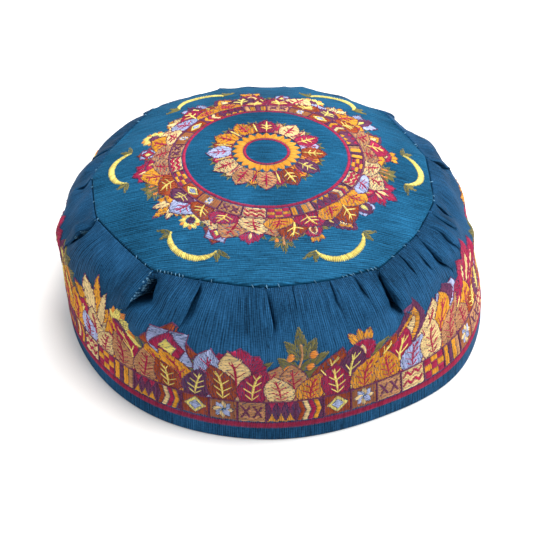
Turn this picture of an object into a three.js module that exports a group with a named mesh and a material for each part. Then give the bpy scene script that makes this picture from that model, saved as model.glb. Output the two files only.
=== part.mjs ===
// An embroidered cloth skullcap with a round crown panel and a pleated side band, standing on its rim.
// Millimetres, +Z up. The rim lies on Z = 0 and the front faces -Y.
// An azimuth is measured in degrees round the crown's middle, from the front towards +X.
import * as THREE from "three";

// Cloth body.
const RIM_RADIUS = 92;
const SHOULDER_RADIUS = 88.6;
const SEAM_RADIUS = 73.5;
const SEAM_HEIGHT = 66.5;
const CROWN_RISE = 14;
const CLOTH = 1.6;
const SEWN_GAP = 0.3;

// Turned edges: the crown's seam allowance points down inside, and the band's hem is folded up inside.
// The band's sloping upper edge is BAND_EDGE deep, measured straight down. HEM_ROUND is the share of each
// ply that the fold of the hem takes in where it stands.
const SEAM_ALLOWANCE = 3;
const BAND_EDGE = 1.3 * CLOTH;
const HEM_TURN = 15;
const HEM_PLY = 0.9;
const HEM_ROUND = 0.25;

// The seam runs nearly straight from pleat to pleat. SEAM_ROUNDNESS is how far it bows out to a circle.
const SEAM_ROUNDNESS = 0.25;

// Pleats that take the band's upper edge in to the crown. A pleat is deepest at a share of its reach, and
// the cloth beside it drifts with it within SWAY_SPREAD degrees, down to SWAY_END of the reach.
const PLEAT_DEPTH = 6;
const PLEAT_REACH = 27;
const PLEAT_OPENING = 11;
const PLEAT_FOLD = 2.6;
const PLEAT_DEEPEST = 0.33;
const SWAY_SPREAD = 18;
const SWAY_END = 1.6;
const PUFF = 1.3;

// Embroidery, which stands on the cloth.
const THREAD_RELIEF = 0.8;
const STRIPE_ABOVE_RIM = 6.6;
const STRIPE_WIDTH = 3.2;
const STRIPE_TO_BORDER = 0.4;
const BORDER_HEIGHT = 46;
const BORDER_EASE = 1.1;
const CENTRE_LINE_RADIUS = 9.3;
const CENTRE_LINE_WIDTH = 0.9;
const SUN_RADIUS = 14.6;
const SUN_POINT = 1.6;
const SUN_POINTS = 24;
const ROSETTE_RADIUS = 25.5;
const CROWN_LINE_RADIUS = 35;
const CROWN_LINE_WIDTH = 1.2;
const WREATH_RADIUS = 59;
const MOTIF_GAP = 0.35;

// The wall from rim to seam. rise is a share of SEAM_HEIGHT. rim, shoulder and seam say how much of
// each named radius the wall follows there.
const WALL = [
  { rise: 0.0, rim: 1.0, shoulder: 0.0, seam: 0.0 },
  { rise: 0.18, rim: 0.8, shoulder: 0.2, seam: 0.0 },
  { rise: 0.36, rim: 0.42, shoulder: 0.58, seam: 0.0 },
  { rise: 0.54, rim: 0.12, shoulder: 0.88, seam: 0.0 },
  { rise: 0.66, rim: 0.0, shoulder: 0.98, seam: 0.02 },
  { rise: 0.77, rim: 0.0, shoulder: 0.79, seam: 0.21 },
  { rise: 0.86, rim: 0.0, shoulder: 0.54, seam: 0.46 },
  { rise: 0.94, rim: 0.0, shoulder: 0.27, seam: 0.73 },
  { rise: 1.0, rim: 0.0, shoulder: 0.0, seam: 1.0 },
];

// The outline of the rim and of the shoulder seen from above, as shares of their radii.
const OUTLINE = [
  { azimuth: -180, rim: 1.0, shoulder: 1.0 },
  { azimuth: -150, rim: 1.0, shoulder: 1.005 },
  { azimuth: -120, rim: 0.985, shoulder: 1.01 },
  { azimuth: -90, rim: 0.967, shoulder: 1.012 },
  { azimuth: -60, rim: 0.965, shoulder: 1.0 },
  { azimuth: -30, rim: 0.992, shoulder: 1.0 },
  { azimuth: 0, rim: 0.998, shoulder: 0.995 },
  { azimuth: 30, rim: 0.998, shoulder: 1.0 },
  { azimuth: 60, rim: 1.055, shoulder: 1.01 },
  { azimuth: 90, rim: 1.048, shoulder: 1.003 },
  { azimuth: 120, rim: 1.015, shoulder: 1.0 },
  { azimuth: 150, rim: 1.0, shoulder: 1.0 },
];

// The pleats, and the corners that they give the seam. corner is a share of SEAM_RADIUS, depth and reach
// are shares of the pleat sizes, and sway is how many degrees the fold drifts by its lower end.
// flap is the side of the fold that lies on top: -1 towards lower azimuths, 1 towards higher ones.
const PLEATS = [
  { azimuth: -163, corner: 1.0, depth: 0.7, reach: 0.85, sway: -5, flap: -1 },
  { azimuth: -136, corner: 1.01, depth: 0.8, reach: 0.9, sway: -6, flap: -1 },
  { azimuth: -108, corner: 0.975, depth: 0.55, reach: 0.7, sway: -4, flap: -1 },
  { azimuth: -90, corner: 1.015, depth: 0.3, reach: 0.6, sway: -3, flap: -1 },
  { azimuth: -69, corner: 1.03, depth: 0.8, reach: 0.95, sway: -8, flap: -1 },
  { azimuth: -37, corner: 1.045, depth: 1.0, reach: 0.85, sway: -6, flap: -1 },
  { azimuth: -21, corner: 0.99, depth: 0.35, reach: 1.0, sway: -2, flap: -1 },
  { azimuth: -1, corner: 0.99, depth: 0.6, reach: 0.8, sway: 2, flap: -1 },
  { azimuth: 20, corner: 0.985, depth: 0.25, reach: 0.7, sway: 3, flap: 1 },
  { azimuth: 37, corner: 1.025, depth: 0.9, reach: 1.0, sway: 7, flap: 1 },
  { azimuth: 58, corner: 0.985, depth: 0.8, reach: 0.95, sway: 6, flap: 1 },
  { azimuth: 77, corner: 0.98, depth: 0.3, reach: 0.7, sway: 4, flap: 1 },
  { azimuth: 103, corner: 0.965, depth: 0.6, reach: 0.8, sway: 4, flap: 1 },
  { azimuth: 134, corner: 1.0, depth: 0.8, reach: 0.9, sway: 5, flap: 1 },
  { azimuth: 167, corner: 1.0, depth: 0.7, reach: 0.85, sway: 4, flap: 1 },
];

// One repeat of the embroidered borders: eight motifs, each a ground with a crest above it.
// ground and peak are shares of the border's height. roundness shapes the crest: 1 is a gable, 4 a block.
const MOTIFS = [
  { ground: 0.5, peak: 1.0, roundness: 1.6 },
  { ground: 0.58, peak: 0.84, roundness: 3.0 },
  { ground: 0.54, peak: 0.92, roundness: 1.4 },
  { ground: 0.62, peak: 0.8, roundness: 2.6 },
  { ground: 0.52, peak: 0.98, roundness: 1.5 },
  { ground: 0.6, peak: 0.86, roundness: 2.0 },
  { ground: 0.56, peak: 0.94, roundness: 1.3 },
  { ground: 0.64, peak: 0.82, roundness: 2.8 },
];
const BORDER_REPEATS = 3;
const WREATH_REPEATS = 3;
const ROSETTE_PETALS = 12;
const ROSETTE_VALLEY = 0.62;

// How finely the faceted solids follow the curves.
const CROWN_COLUMNS = 60;
const CROWN_RINGS = [0, 0.2, 0.4, 0.6, 0.78, 0.92, 1];
const LINE_COLUMNS = 60;
const BORDER_COLUMNS_PER_MOTIF = 6;
const WREATH_COLUMNS_PER_MOTIF = 4;
const ROSETTE_COLUMNS_PER_PETAL = 4;
const SUN_COLUMNS_PER_POINT = 2;
const WALL_STEP = 5.5;
const PROFILE_STEPS = 160;
const SLOPE_STEP = 0.05;
const WALL_ROWS = [0.025, 0.16, 0.3, 0.44, 0.56, 0.66, 0.74, 0.82, 0.89, 0.95];
const FLAT_ROWS = [0, 1];
const WREATH_ROWS = [0, 0.5, 1];
const BORDER_ROWS = [0, 0.45, 0.74, 0.9, 1];

const radians = THREE.MathUtils.degToRad;
const smoothstep = THREE.MathUtils.smoothstep;
const lerp = THREE.MathUtils.lerp;

// The signed angle from one azimuth to another, from -180 to 180.
function turn(from, to) {
  return THREE.MathUtils.euclideanModulo(to - from + 180, 360) - 180;
}

// A smooth curve through b and c, at a share t of the way between them, where a and d are their neighbours.
function smooth(a, b, c, d, t) {
  const [leave, arrive] = [(c - a) / 2, (d - b) / 2];
  const rise = c - b;
  return b + t * (leave + t * (3 * rise - 2 * leave - arrive + t * (leave + arrive - 2 * rise)));
}

// A column of a table that runs round the hat, as a smooth closed curve.
function roundTable(rows, key, azimuth) {
  const step = 360 / rows.length;
  const place = THREE.MathUtils.euclideanModulo(azimuth - rows[0].azimuth, 360) / step;
  const i = Math.floor(place);
  const at = (k) => rows[(i + k + rows.length) % rows.length][key];
  return smooth(at(-1), at(0), at(1), at(2), place - i);
}

// The two pleats on either side of an azimuth, and how far it is from the first to the second.
function betweenPleats(azimuth) {
  for (let i = 0; i < PLEATS.length; i++) {
    const a = PLEATS[i];
    const b = PLEATS[(i + 1) % PLEATS.length];
    const span = THREE.MathUtils.euclideanModulo(b.azimuth - a.azimuth, 360);
    const along = THREE.MathUtils.euclideanModulo(azimuth - a.azimuth, 360);
    if (along < span) return { a, b, span, along };
  }
}

// The seam seen from above: nearly straight from one pleat to the next.
function seamRadius(azimuth) {
  const { a, b, span, along } = betweenPleats(azimuth);
  const ra = SEAM_RADIUS * a.corner;
  const rb = SEAM_RADIUS * b.corner;
  const chord =
    (ra * rb * Math.sin(radians(span))) /
    (ra * Math.sin(radians(along)) + rb * Math.sin(radians(span - along)));
  const round = lerp(ra, rb, along / span);
  return lerp(chord, round, SEAM_ROUNDNESS);
}

// The wall's profile as a curve: x is its way along WALL, from 0 to the last row.
function wallShares(x) {
  const i = Math.min(Math.floor(x), WALL.length - 2);
  const at = (k, key) => WALL[THREE.MathUtils.clamp(i + k, 0, WALL.length - 1)][key];
  const share = {};
  for (const key of ["rise", "rim", "shoulder", "seam"]) {
    share[key] = smooth(at(-1, key), at(0, key), at(1, key), at(2, key), x - i);
  }
  return share;
}

// The bare wall without pleats, in its own upright plane: distance from the axis and height.
function barePoint(azimuth, x) {
  const share = wallShares(x);
  const rim = RIM_RADIUS * roundTable(OUTLINE, "rim", azimuth);
  const shoulder = SHOULDER_RADIUS * roundTable(OUTLINE, "shoulder", azimuth);
  const seam = seamRadius(azimuth) + SEWN_GAP / 2;
  return new THREE.Vector2(
    share.rim * rim + share.shoulder * shoulder + share.seam * seam,
    share.rise * SEAM_HEIGHT,
  );
}

// How far up the cloth from the rim each point of the profile lies.
const PROFILE = [];
for (let i = 0; i <= PROFILE_STEPS; i++) {
  const x = ((WALL.length - 1) * i) / PROFILE_STEPS;
  const share = wallShares(x);
  const out = share.rim * RIM_RADIUS + share.shoulder * SHOULDER_RADIUS + share.seam * SEAM_RADIUS;
  const point = new THREE.Vector2(out, share.rise * SEAM_HEIGHT);
  const fromRim = i ? PROFILE[i - 1].fromRim + point.distanceTo(PROFILE[i - 1].point) : 0;
  PROFILE.push({ x, point, fromRim });
}
const WALL_LENGTH = PROFILE[PROFILE_STEPS].fromRim;

// The place in WALL of a point that lies a given way up the cloth from the rim.
function wallPlace(fromRim) {
  const i = PROFILE.findIndex((p) => p.fromRim >= fromRim);
  if (i < 0) return WALL.length - 1;
  if (i === 0) return 0;
  const [low, high] = [PROFILE[i - 1], PROFILE[i]];
  return lerp(low.x, high.x, (fromRim - low.fromRim) / (high.fromRim - low.fromRim));
}

// A swell that is nothing at the seam, fullest a share of its reach below it, and gone at its reach.
function swell(below, reach) {
  const fullest = reach * PLEAT_DEEPEST;
  return smoothstep(below, 0, fullest) * (1 - smoothstep(below, fullest, reach));
}

// How deep the cloth is folded in, for an azimuth that is measured at the seam.
function foldDepth(azimuth, below) {
  let depth = 0;
  for (const pleat of PLEATS) {
    const across = radians(turn(pleat.azimuth, azimuth)) * SHOULDER_RADIUS * -pleat.flap;
    const side =
      across < 0
        ? Math.exp(-((across / PLEAT_FOLD) ** 2))
        : Math.max(0, 1 - across / PLEAT_OPENING) ** 2;
    depth = Math.max(depth, PLEAT_DEPTH * pleat.depth * side * swell(below, PLEAT_REACH * pleat.reach));
  }
  return depth;
}

// Between pleats the cloth stands out in a soft puff.
function puff(azimuth, below) {
  const { span, along } = betweenPleats(azimuth);
  return PUFF * Math.sin((Math.PI * along) / span) ** 2 * swell(below, PLEAT_REACH);
}

// Folds drift sideways on their way down, and the cloth beside them goes with them. Below, it hangs straight.
function swayed(azimuth, below) {
  const straight = smoothstep(below, PLEAT_REACH, PLEAT_REACH * SWAY_END);
  const hold = smoothstep(below, 0, PLEAT_REACH) * (1 - straight);
  let drift = 0;
  for (const pleat of PLEATS) {
    const near = 1 - smoothstep(Math.abs(turn(pleat.azimuth, azimuth)), 0, SWAY_SPREAD);
    drift += pleat.sway * near * hold;
  }
  return azimuth + drift;
}

// A point of the side band, a given way up the cloth from the rim and a given height above its outer face.
function bandPoint(azimuth, fromRim, lift) {
  const below = WALL_LENGTH - fromRim;
  const x = wallPlace(fromRim);
  const there = swayed(azimuth, below);
  const point = barePoint(there, x);
  const ahead = barePoint(there, Math.min(x + SLOPE_STEP, WALL.length - 1));
  const behind = barePoint(there, Math.max(x - SLOPE_STEP, 0));
  const along = ahead.sub(behind).normalize();
  const outward = new THREE.Vector2(along.y, -along.x);
  point.addScaledVector(outward, lift + puff(azimuth, below) - foldDepth(azimuth, below));
  return roundPoint(point.x, there, point.y);
}

// A point of the crown's upper face, at a distance from the axis, and a given height above it.
function crownPoint(azimuth, distance, lift) {
  const edge = seamRadius(azimuth) - SEWN_GAP / 2;
  const slope = (2 * CROWN_RISE * distance) / edge ** 2;
  const size = Math.hypot(1, slope);
  const height = SEAM_HEIGHT + CROWN_RISE * (1 - (distance / edge) ** 2);
  return roundPoint(distance + (lift * slope) / size, azimuth, height + lift / size);
}

function roundPoint(distance, azimuth, height) {
  const a = radians(azimuth);
  return new THREE.Vector3(distance * Math.sin(a), -distance * Math.cos(a), height);
}

// A closed body from sections that stand round the axis. Each section is a loop of points.
// A section whose first and last points lie on the axis closes there, and any other closes on itself.
function bodyOfSections(sections, meetsAxis) {
  const count = sections.length;
  const size = sections[0].length;
  const positions = sections.flat().flatMap((p) => p.toArray());
  const vertex = (i, j) => {
    if (meetsAxis && (j === 0 || j === size - 1)) return j;
    return (i % count) * size + (j % size);
  };
  const triangles = [];
  const rows = meetsAxis ? size - 1 : size;
  for (let i = 0; i < count; i++) {
    for (let j = 0; j < rows; j++) {
      const [a, b, c, d] = [vertex(i, j), vertex(i + 1, j), vertex(i + 1, j + 1), vertex(i, j + 1)];
      if (a !== b) triangles.push(a, b, c);
      if (c !== d) triangles.push(a, c, d);
    }
  }
  const geometry = new THREE.BufferGeometry();
  geometry.setAttribute("position", new THREE.Float32BufferAttribute(positions, 3));
  geometry.setIndex(triangles);
  geometry.computeVertexNormals();
  return geometry;
}

const evenAzimuths = (count) => Array.from({ length: count }, (_, i) => (360 * i) / count - 180);

// Columns of the band: close together at each fold and even between.
function bandAzimuths() {
  const fold = THREE.MathUtils.radToDeg(PLEAT_FOLD / SHOULDER_RADIUS);
  const found = [];
  PLEATS.forEach((pleat, i) => {
    const next = PLEATS[(i + 1) % PLEATS.length];
    const span = THREE.MathUtils.euclideanModulo(next.azimuth - pleat.azimuth, 360);
    const inner = span - 2 * fold;
    const steps = Math.max(2, Math.round(inner / WALL_STEP));
    found.push(pleat.azimuth);
    for (let k = 0; k <= steps; k++) found.push(pleat.azimuth + fold + (inner * k) / steps);
  });
  return found;
}

function sideBand() {
  const rows = WALL_ROWS.map((share) => share * WALL_LENGTH);
  const sections = bandAzimuths().map((azimuth) => {
    const outer = rows.map((fromRim) => bandPoint(azimuth, fromRim, 0));
    const inner = rows
      .filter((fromRim) => fromRim > HEM_TURN)
      .map((fromRim) => bandPoint(azimuth, fromRim, -CLOTH));
    const foot = bandPoint(azimuth, 0, -CLOTH * HEM_ROUND).setZ(0);
    const footInside = bandPoint(azimuth, 0, -(CLOTH + HEM_PLY * (1 - HEM_ROUND))).setZ(0);
    const hemInside = bandPoint(azimuth, rows[0], -(CLOTH + HEM_PLY));
    const hemEdge = bandPoint(azimuth, HEM_TURN, -(CLOTH + HEM_PLY));
    const hemStep = bandPoint(azimuth, HEM_TURN, -CLOTH);
    const top = bandPoint(azimuth, WALL_LENGTH, 0);
    const topInside = top.clone().setZ(top.z - BAND_EDGE);
    return [foot, ...outer, top, topInside, ...inner.reverse(), hemStep, hemEdge, hemInside, footInside];
  });
  return bodyOfSections(sections, false);
}

function crownPanel() {
  const sections = evenAzimuths(CROWN_COLUMNS).map((azimuth) => {
    const edge = seamRadius(azimuth) - SEWN_GAP / 2;
    const upper = CROWN_RINGS.map((share) => crownPoint(azimuth, share * edge, 0));
    const turned = roundPoint(edge, azimuth, SEAM_HEIGHT - SEAM_ALLOWANCE);
    const turnedInside = roundPoint(edge - CLOTH, azimuth, SEAM_HEIGHT - SEAM_ALLOWANCE);
    const under = (share) => crownPoint(azimuth, share * (edge - CLOTH), -CLOTH);
    const lower = CROWN_RINGS.slice(0, -1).map(under);
    const corner = roundPoint(edge - CLOTH, azimuth, SEAM_HEIGHT - CLOTH);
    return [...upper, turned, turnedInside, corner, ...lower.reverse()];
  });
  return bodyOfSections(sections.map((section) => section.reverse()), true);
}

// The embroidered border's own surface: where it reaches up over the pleats it bridges their small folds.
function borderPoint(azimuth, fromRim, lift) {
  const pleatsEnd = WALL_LENGTH - PLEAT_REACH;
  const ease = BORDER_EASE * smoothstep(fromRim, pleatsEnd - PLEAT_OPENING, pleatsEnd);
  return bandPoint(azimuth, fromRim, lift + ease);
}

// A raised ring of thread between two edges that run round the hat. surface gives a point for an azimuth,
// a distance and a lift, and rows holds the shares of the way between the edges where the thread bends.
function threadRing(azimuths, surface, inside, outside, rows) {
  return azimuths.map((azimuth) => {
    const [from, to] = [inside(azimuth), outside(azimuth)];
    const face = (lift) => rows.map((share) => surface(azimuth, lerp(from, to, share), lift));
    return [...face(SEWN_GAP + THREAD_RELIEF), ...face(SEWN_GAP).reverse()];
  });
}

// The crest line of a border: how much of its height the motifs fill at an azimuth.
function crest(azimuth, repeats) {
  const cells = MOTIFS.length * repeats;
  const place = (THREE.MathUtils.euclideanModulo(azimuth, 360) / 360) * cells;
  const motif = MOTIFS[Math.floor(place) % MOTIFS.length];
  const across = 2 * (place - Math.floor(place)) - 1;
  return motif.ground + (motif.peak - motif.ground) * (1 - Math.abs(across) ** motif.roundness);
}

function petals(azimuth) {
  const wave = Math.abs(Math.cos(radians((azimuth * ROSETTE_PETALS) / 2)));
  return lerp(ROSETTE_VALLEY, 1, wave);
}

const BORDER_FROM = STRIPE_ABOVE_RIM + STRIPE_WIDTH + STRIPE_TO_BORDER;
const WREATH_FROM = CROWN_LINE_RADIUS + CROWN_LINE_WIDTH / 2 + MOTIF_GAP;
const SUN_FROM = CENTRE_LINE_RADIUS + CENTRE_LINE_WIDTH / 2 + MOTIF_GAP;
const ROSETTE_FROM = SUN_RADIUS + MOTIF_GAP;

function sunEdge(azimuth) {
  const wave = Math.cos(radians(azimuth * SUN_POINTS));
  return SUN_RADIUS - (SUN_POINT * (1 - wave)) / 2;
}

// Finish of each sub-part.
const silk = new THREE.MeshStandardMaterial({ color: "#2a5f87", roughness: 0.62, metalness: 0 });
const silkBand = new THREE.MeshStandardMaterial({ color: "#24557b", roughness: 0.62, metalness: 0 });
const crimson = new THREE.MeshStandardMaterial({ color: "#8c2444", roughness: 0.5, metalness: 0 });
const gold = new THREE.MeshStandardMaterial({ color: "#d08a2c", roughness: 0.48, metalness: 0 });
const tan = new THREE.MeshStandardMaterial({ color: "#b98a55", roughness: 0.5, metalness: 0 });

// On the band a ring's first edge is its lower one. On the crown it is the one nearer the axis, so there
// the sections turn the other way round.
function bandRing(azimuths, surface, lower, upper, rows) {
  return bodyOfSections(threadRing(azimuths, surface, lower, upper, rows), false);
}

function crownRing(azimuths, inside, outside, rows) {
  const sections = threadRing(azimuths, crownPoint, inside, outside, rows);
  return bodyOfSections(sections.map((section) => section.reverse()), false);
}

// A plain circle of thread on the crown.
function crownCircle(radius, width, columns) {
  return crownRing(evenAzimuths(columns), () => radius - width / 2, () => radius + width / 2, FLAT_ROWS);
}

const hat = new THREE.Group();

function add(name, geometry, material) {
  const mesh = new THREE.Mesh(geometry, material);
  mesh.name = name;
  hat.add(mesh);
}

add("crown_panel", crownPanel(), silk);
add("side_band", sideBand(), silkBand);
add(
  "hem_stripe",
  bandRing(
    evenAzimuths(LINE_COLUMNS),
    bandPoint,
    () => STRIPE_ABOVE_RIM,
    () => STRIPE_ABOVE_RIM + STRIPE_WIDTH,
    FLAT_ROWS,
  ),
  crimson,
);
add(
  "band_border",
  bandRing(
    evenAzimuths(MOTIFS.length * BORDER_REPEATS * BORDER_COLUMNS_PER_MOTIF),
    borderPoint,
    () => BORDER_FROM,
    (azimuth) => BORDER_FROM + BORDER_HEIGHT * crest(azimuth, BORDER_REPEATS),
    BORDER_ROWS,
  ),
  tan,
);
add("crown_line", crownCircle(CROWN_LINE_RADIUS, CROWN_LINE_WIDTH, LINE_COLUMNS), crimson);
add(
  "crown_wreath",
  crownRing(
    evenAzimuths(MOTIFS.length * WREATH_REPEATS * WREATH_COLUMNS_PER_MOTIF),
    () => WREATH_FROM,
    (azimuth) => lerp(WREATH_FROM, WREATH_RADIUS, crest(azimuth, WREATH_REPEATS)),
    WREATH_ROWS,
  ),
  tan,
);
add(
  "crown_rosette",
  crownRing(
    evenAzimuths(ROSETTE_PETALS * ROSETTE_COLUMNS_PER_PETAL),
    () => ROSETTE_FROM,
    (azimuth) => lerp(ROSETTE_FROM, ROSETTE_RADIUS, petals(azimuth)),
    FLAT_ROWS,
  ),
  tan,
);
add(
  "sun_ring",
  crownRing(evenAzimuths(SUN_POINTS * SUN_COLUMNS_PER_POINT), () => SUN_FROM, sunEdge, FLAT_ROWS),
  gold,
);
add("centre_line", crownCircle(CENTRE_LINE_RADIUS, CENTRE_LINE_WIDTH, LINE_COLUMNS / 2), crimson);

// The origin is in the middle of the standing hat, at the level of its rim.
const extent = new THREE.Box3().setFromObject(hat, true);
const middle = extent.getCenter(new THREE.Vector3());
hat.position.set(-middle.x, -middle.y, -extent.min.z);

export default hat;
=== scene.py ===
# The embroidered skullcap as it is sewn: pleated silk, satin-stitch borders and hand stitches, in a pale
# studio. Lengths are metres in the cap's own frame: +Z up, the front towards -Y, the rim on Z = 0.
import math
import random
from collections import namedtuple

import bmesh
import bpy
import numpy as np
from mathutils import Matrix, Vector


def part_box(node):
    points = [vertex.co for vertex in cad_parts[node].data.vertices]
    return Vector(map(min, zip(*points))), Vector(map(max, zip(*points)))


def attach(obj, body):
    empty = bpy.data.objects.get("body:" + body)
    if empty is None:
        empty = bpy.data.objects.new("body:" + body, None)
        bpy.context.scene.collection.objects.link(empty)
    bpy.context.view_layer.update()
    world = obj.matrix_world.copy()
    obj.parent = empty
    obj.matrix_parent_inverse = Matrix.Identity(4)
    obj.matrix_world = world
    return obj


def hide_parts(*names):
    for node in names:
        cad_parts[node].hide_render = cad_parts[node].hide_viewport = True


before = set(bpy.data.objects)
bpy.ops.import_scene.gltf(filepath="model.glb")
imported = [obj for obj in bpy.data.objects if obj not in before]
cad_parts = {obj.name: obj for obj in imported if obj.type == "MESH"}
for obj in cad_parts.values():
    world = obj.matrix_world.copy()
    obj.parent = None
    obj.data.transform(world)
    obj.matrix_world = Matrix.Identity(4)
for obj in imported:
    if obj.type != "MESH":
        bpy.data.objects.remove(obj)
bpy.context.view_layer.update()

bl_info = {
    "name": "Embroidered skullcap",
    "version": (1, 0, 0),
    "blender": (4, 5, 0),
    "location": "3D View > Sidebar > Skullcap",
    "description": "Sews the cap's silk, borders and seams around its packed solids",
    "category": "Object",
}

MM = 0.001

# The cap's axis stands a little beside the middle of its box, because the rim is pulled out on one side.
AXIS_LOW, AXIS_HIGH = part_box("centre_line")
AXIS = np.array([(AXIS_LOW[0] + AXIS_HIGH[0]) / 2, (AXIS_LOW[1] + AXIS_HIGH[1]) / 2, 0.0])

# Cloth body.
RIM_RADIUS = 92 * MM
SHOULDER_RADIUS = 88.6 * MM
SEAM_RADIUS = 73.5 * MM
SEAM_HEIGHT = 66.5 * MM
CROWN_RISE = 14 * MM
SEWN_GAP = 0.3 * MM
SEAM_ALLOWANCE = 3 * MM
SEAM_ROUNDNESS = 0.25
HEM_TURN = 15 * MM

# Pleats. The cloth drifts sideways down to SWAY_END of their reach.
PLEAT_DEPTH = 9 * MM
PLEAT_REACH = 27 * MM
PLEAT_OPENING = 11 * MM
PLEAT_FOLD = 2.0 * MM
FLAP_LIFT = 1.1 * MM
SWAY_SPREAD = 18
SWAY_END = 1.6
PUFF = 1.3 * MM
PUFF_FULLEST = 0.33
# The edge of a fold stands up in a soft ridge this far behind it and this wide.
RIDGE_BEHIND = 1.8 * MM
RIDGE_WIDTH = 2.2 * MM

# Where the cloth rolls down into the seam.
BAND_ROLL = 1.1 * MM
CROWN_ROLL = 0.45 * MM

# Layers of wrinkles: how many bumps there are round the cap and across the cloth, and the layer's seed.
Layer = namedtuple("Layer", "columns rows seed")
BAND_GATHERS = Layer(110, 4, 11)
BAND_WAVES = Layer(40, 5, 12)
BAND_WANDER = Layer(17, 3, 13)
BAND_CRUMPLES = Layer(75, 12, 14)
CROWN_PUCKERS = Layer(84, 2, 21)
CROWN_FOLDS = Layer(22, 3, 22)
CROWN_SWELLS = Layer(7, 7, 23)

# The crown's plain cloth stands up a little between the stitched rings: here and at its middle.
PLAIN_RISE = 0.35 * MM
PLAIN_RING = 30 * MM
PLAIN_RING_WIDTH = 4 * MM
PLAIN_MIDDLE_WIDTH = 6 * MM

# The cloths' grids. Columns lie close together within FOLD_COLUMNS_REACH of a fold.
FOLD_COLUMNS = 22
FOLD_COLUMNS_REACH = 5 * MM
PLAIN_COLUMN_DEGREES = 1.1
ROW_HEIGHT = 1.5 * MM
CROWN_RINGS = 62
CROWN_ROLL_RINGS = 4
ALLOWANCE_ROWS = 3
ROLL_ROWS = 6
HEM_ROWS = 7

# The weave: distance from one streak to the next, and length of a streak. Dupioni has two to four threads to
# the millimetre, and a pixel of the render spans 0.45 mm, so they are drawn as coarse as they need to show.
RIB_SIZE = (0.9 * MM, 25 * MM)
FINE_SIZE = (0.4 * MM, 8 * MM)
SLUB_SIZE = (0.8 * MM, 18 * MM)
CROSS_SIZE = (0.45 * MM, 1.6 * MM)
# Broad lighter and darker patches of this size in the silk's colour are painted sheen.
PAINTED_SHEEN_PATCH = 1000 / 26 * MM

# Rayon's filaments are about 0.02 mm thick, too fine to show, and are drawn as a grain of 0.4 mm.
THREAD_GRAIN = MM / 2.6
# The floor's card has a faint grain of about a millimetre.
CARD_GRAIN = MM / 0.9

# Embroidery.
STRIPE_ABOVE_RIM = 6.6 * MM
STRIPE_WIDTH = 3.2 * MM
BORDER_FROM = 10.2 * MM
BORDER_HEIGHT = 46 * MM
CENTRE_LINE_RADIUS = 9.3 * MM
CENTRE_LINE_WIDTH = 0.9 * MM
SUN_RADIUS = 14.6 * MM
SUN_POINT = 1.6 * MM
SUN_POINTS = 24
ROSETTE_RADIUS = 25.5 * MM
ROSETTE_PETALS = 12
CROWN_LINE_RADIUS = 35 * MM
CROWN_LINE_WIDTH = 1.2 * MM
WREATH_FROM = 36 * MM
WREATH_RADIUS = 59 * MM
BORDER_CELLS = 24
CRESCENTS = 6
CRESCENT_RADIUS = 9 * MM
CRESCENT_WIDTH = 2.7 * MM
# The crown's patterns are drawn flat, with x measured on a circle of this radius.
CROWN_RULE = 47 * MM
ROSETTE_RULE = 20 * MM

# Stitches. A thread is a little wider than the pitch, so that no cloth shows between two stitches.
THREAD_SHARE = 1.18
SHORTEST_STITCH = 0.4 * MM
SHORT_STITCH_TO = 3.6 * MM
THREAD_SINKS = 0.12 * MM
END_WANDER = 0.14 * MM
SIDE_WANDER = 0.09 * MM
COLUMN_WANDER = 0.08 * MM
EDGE_STEP = 2.1 * MM
EDGE_WIDTH = 0.5 * MM
VEIN_WIDTH = 0.55 * MM
TALL_LEAF = 11 * MM
SUN_STITCHES = 180
# The zigzag ring's thread is this wide this far from the crown's middle.
SUN_THREAD = 0.66 * MM
SUN_THREAD_AT = 12 * MM
SEAM_STITCH_STEP = 1.5 * MM
SEAM_THREAD = 0.34 * MM
LOOSE_THREAD = 0.3 * MM

# Where the seam's stitches have come loose: azimuths, and how far each place reaches, in degrees.
LOOSE_PLACES = (-32, 30)
LOOSE_REACH = 6

# Picture and light. The lamps' sizes are metres and their powers watts.
SENSOR_WIDTH = 36
PICTURE_SHIFT = 30.7 / 533
FLOOR_HALF = 6.0
Lamp = namedtuple("Lamp", "name place size power")
LAMPS = (
    Lamp("top_softbox", (0.2, 0.15, 1.3), 0.7, 16.5),
    Lamp("right_softbox", (1.15, -0.2, 0.8), 1.1, 12.5),
    Lamp("front_softbox", (-0.5, -1.3, 0.7), 1.0, 3.0),
)
LAMP_TARGET = (0, 0, 0.04)
ROOM_LIGHT = 0.6
ROOM_SEEN_BRIGHTER = 0.4

# The wall from rim to seam. rise is a share of SEAM_HEIGHT, and rim, shoulder and seam are shares of each
# radius.
WallRow = namedtuple("WallRow", "rise rim shoulder seam")
WALL = [
    WallRow(0.0, 1.0, 0.0, 0.0),
    WallRow(0.18, 0.8, 0.2, 0.0),
    WallRow(0.36, 0.42, 0.58, 0.0),
    WallRow(0.54, 0.12, 0.88, 0.0),
    WallRow(0.66, 0.0, 0.98, 0.02),
    WallRow(0.77, 0.0, 0.79, 0.21),
    WallRow(0.86, 0.0, 0.54, 0.46),
    WallRow(0.94, 0.0, 0.27, 0.73),
    WallRow(1.0, 0.0, 0.0, 1.0),
]

# The outline seen from above, as shares of the radii of rim and shoulder.
OutlineRow = namedtuple("OutlineRow", "azimuth rim shoulder")
OUTLINE = [
    OutlineRow(-180, 1.0, 1.0),
    OutlineRow(-150, 1.0, 1.005),
    OutlineRow(-120, 0.985, 1.01),
    OutlineRow(-90, 0.967, 1.012),
    OutlineRow(-60, 0.965, 1.0),
    OutlineRow(-30, 0.992, 1.0),
    OutlineRow(0, 0.998, 0.995),
    OutlineRow(30, 0.998, 1.0),
    OutlineRow(60, 1.055, 1.01),
    OutlineRow(90, 1.048, 1.003),
    OutlineRow(120, 1.015, 1.0),
    OutlineRow(150, 1.0, 1.0),
]

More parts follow.
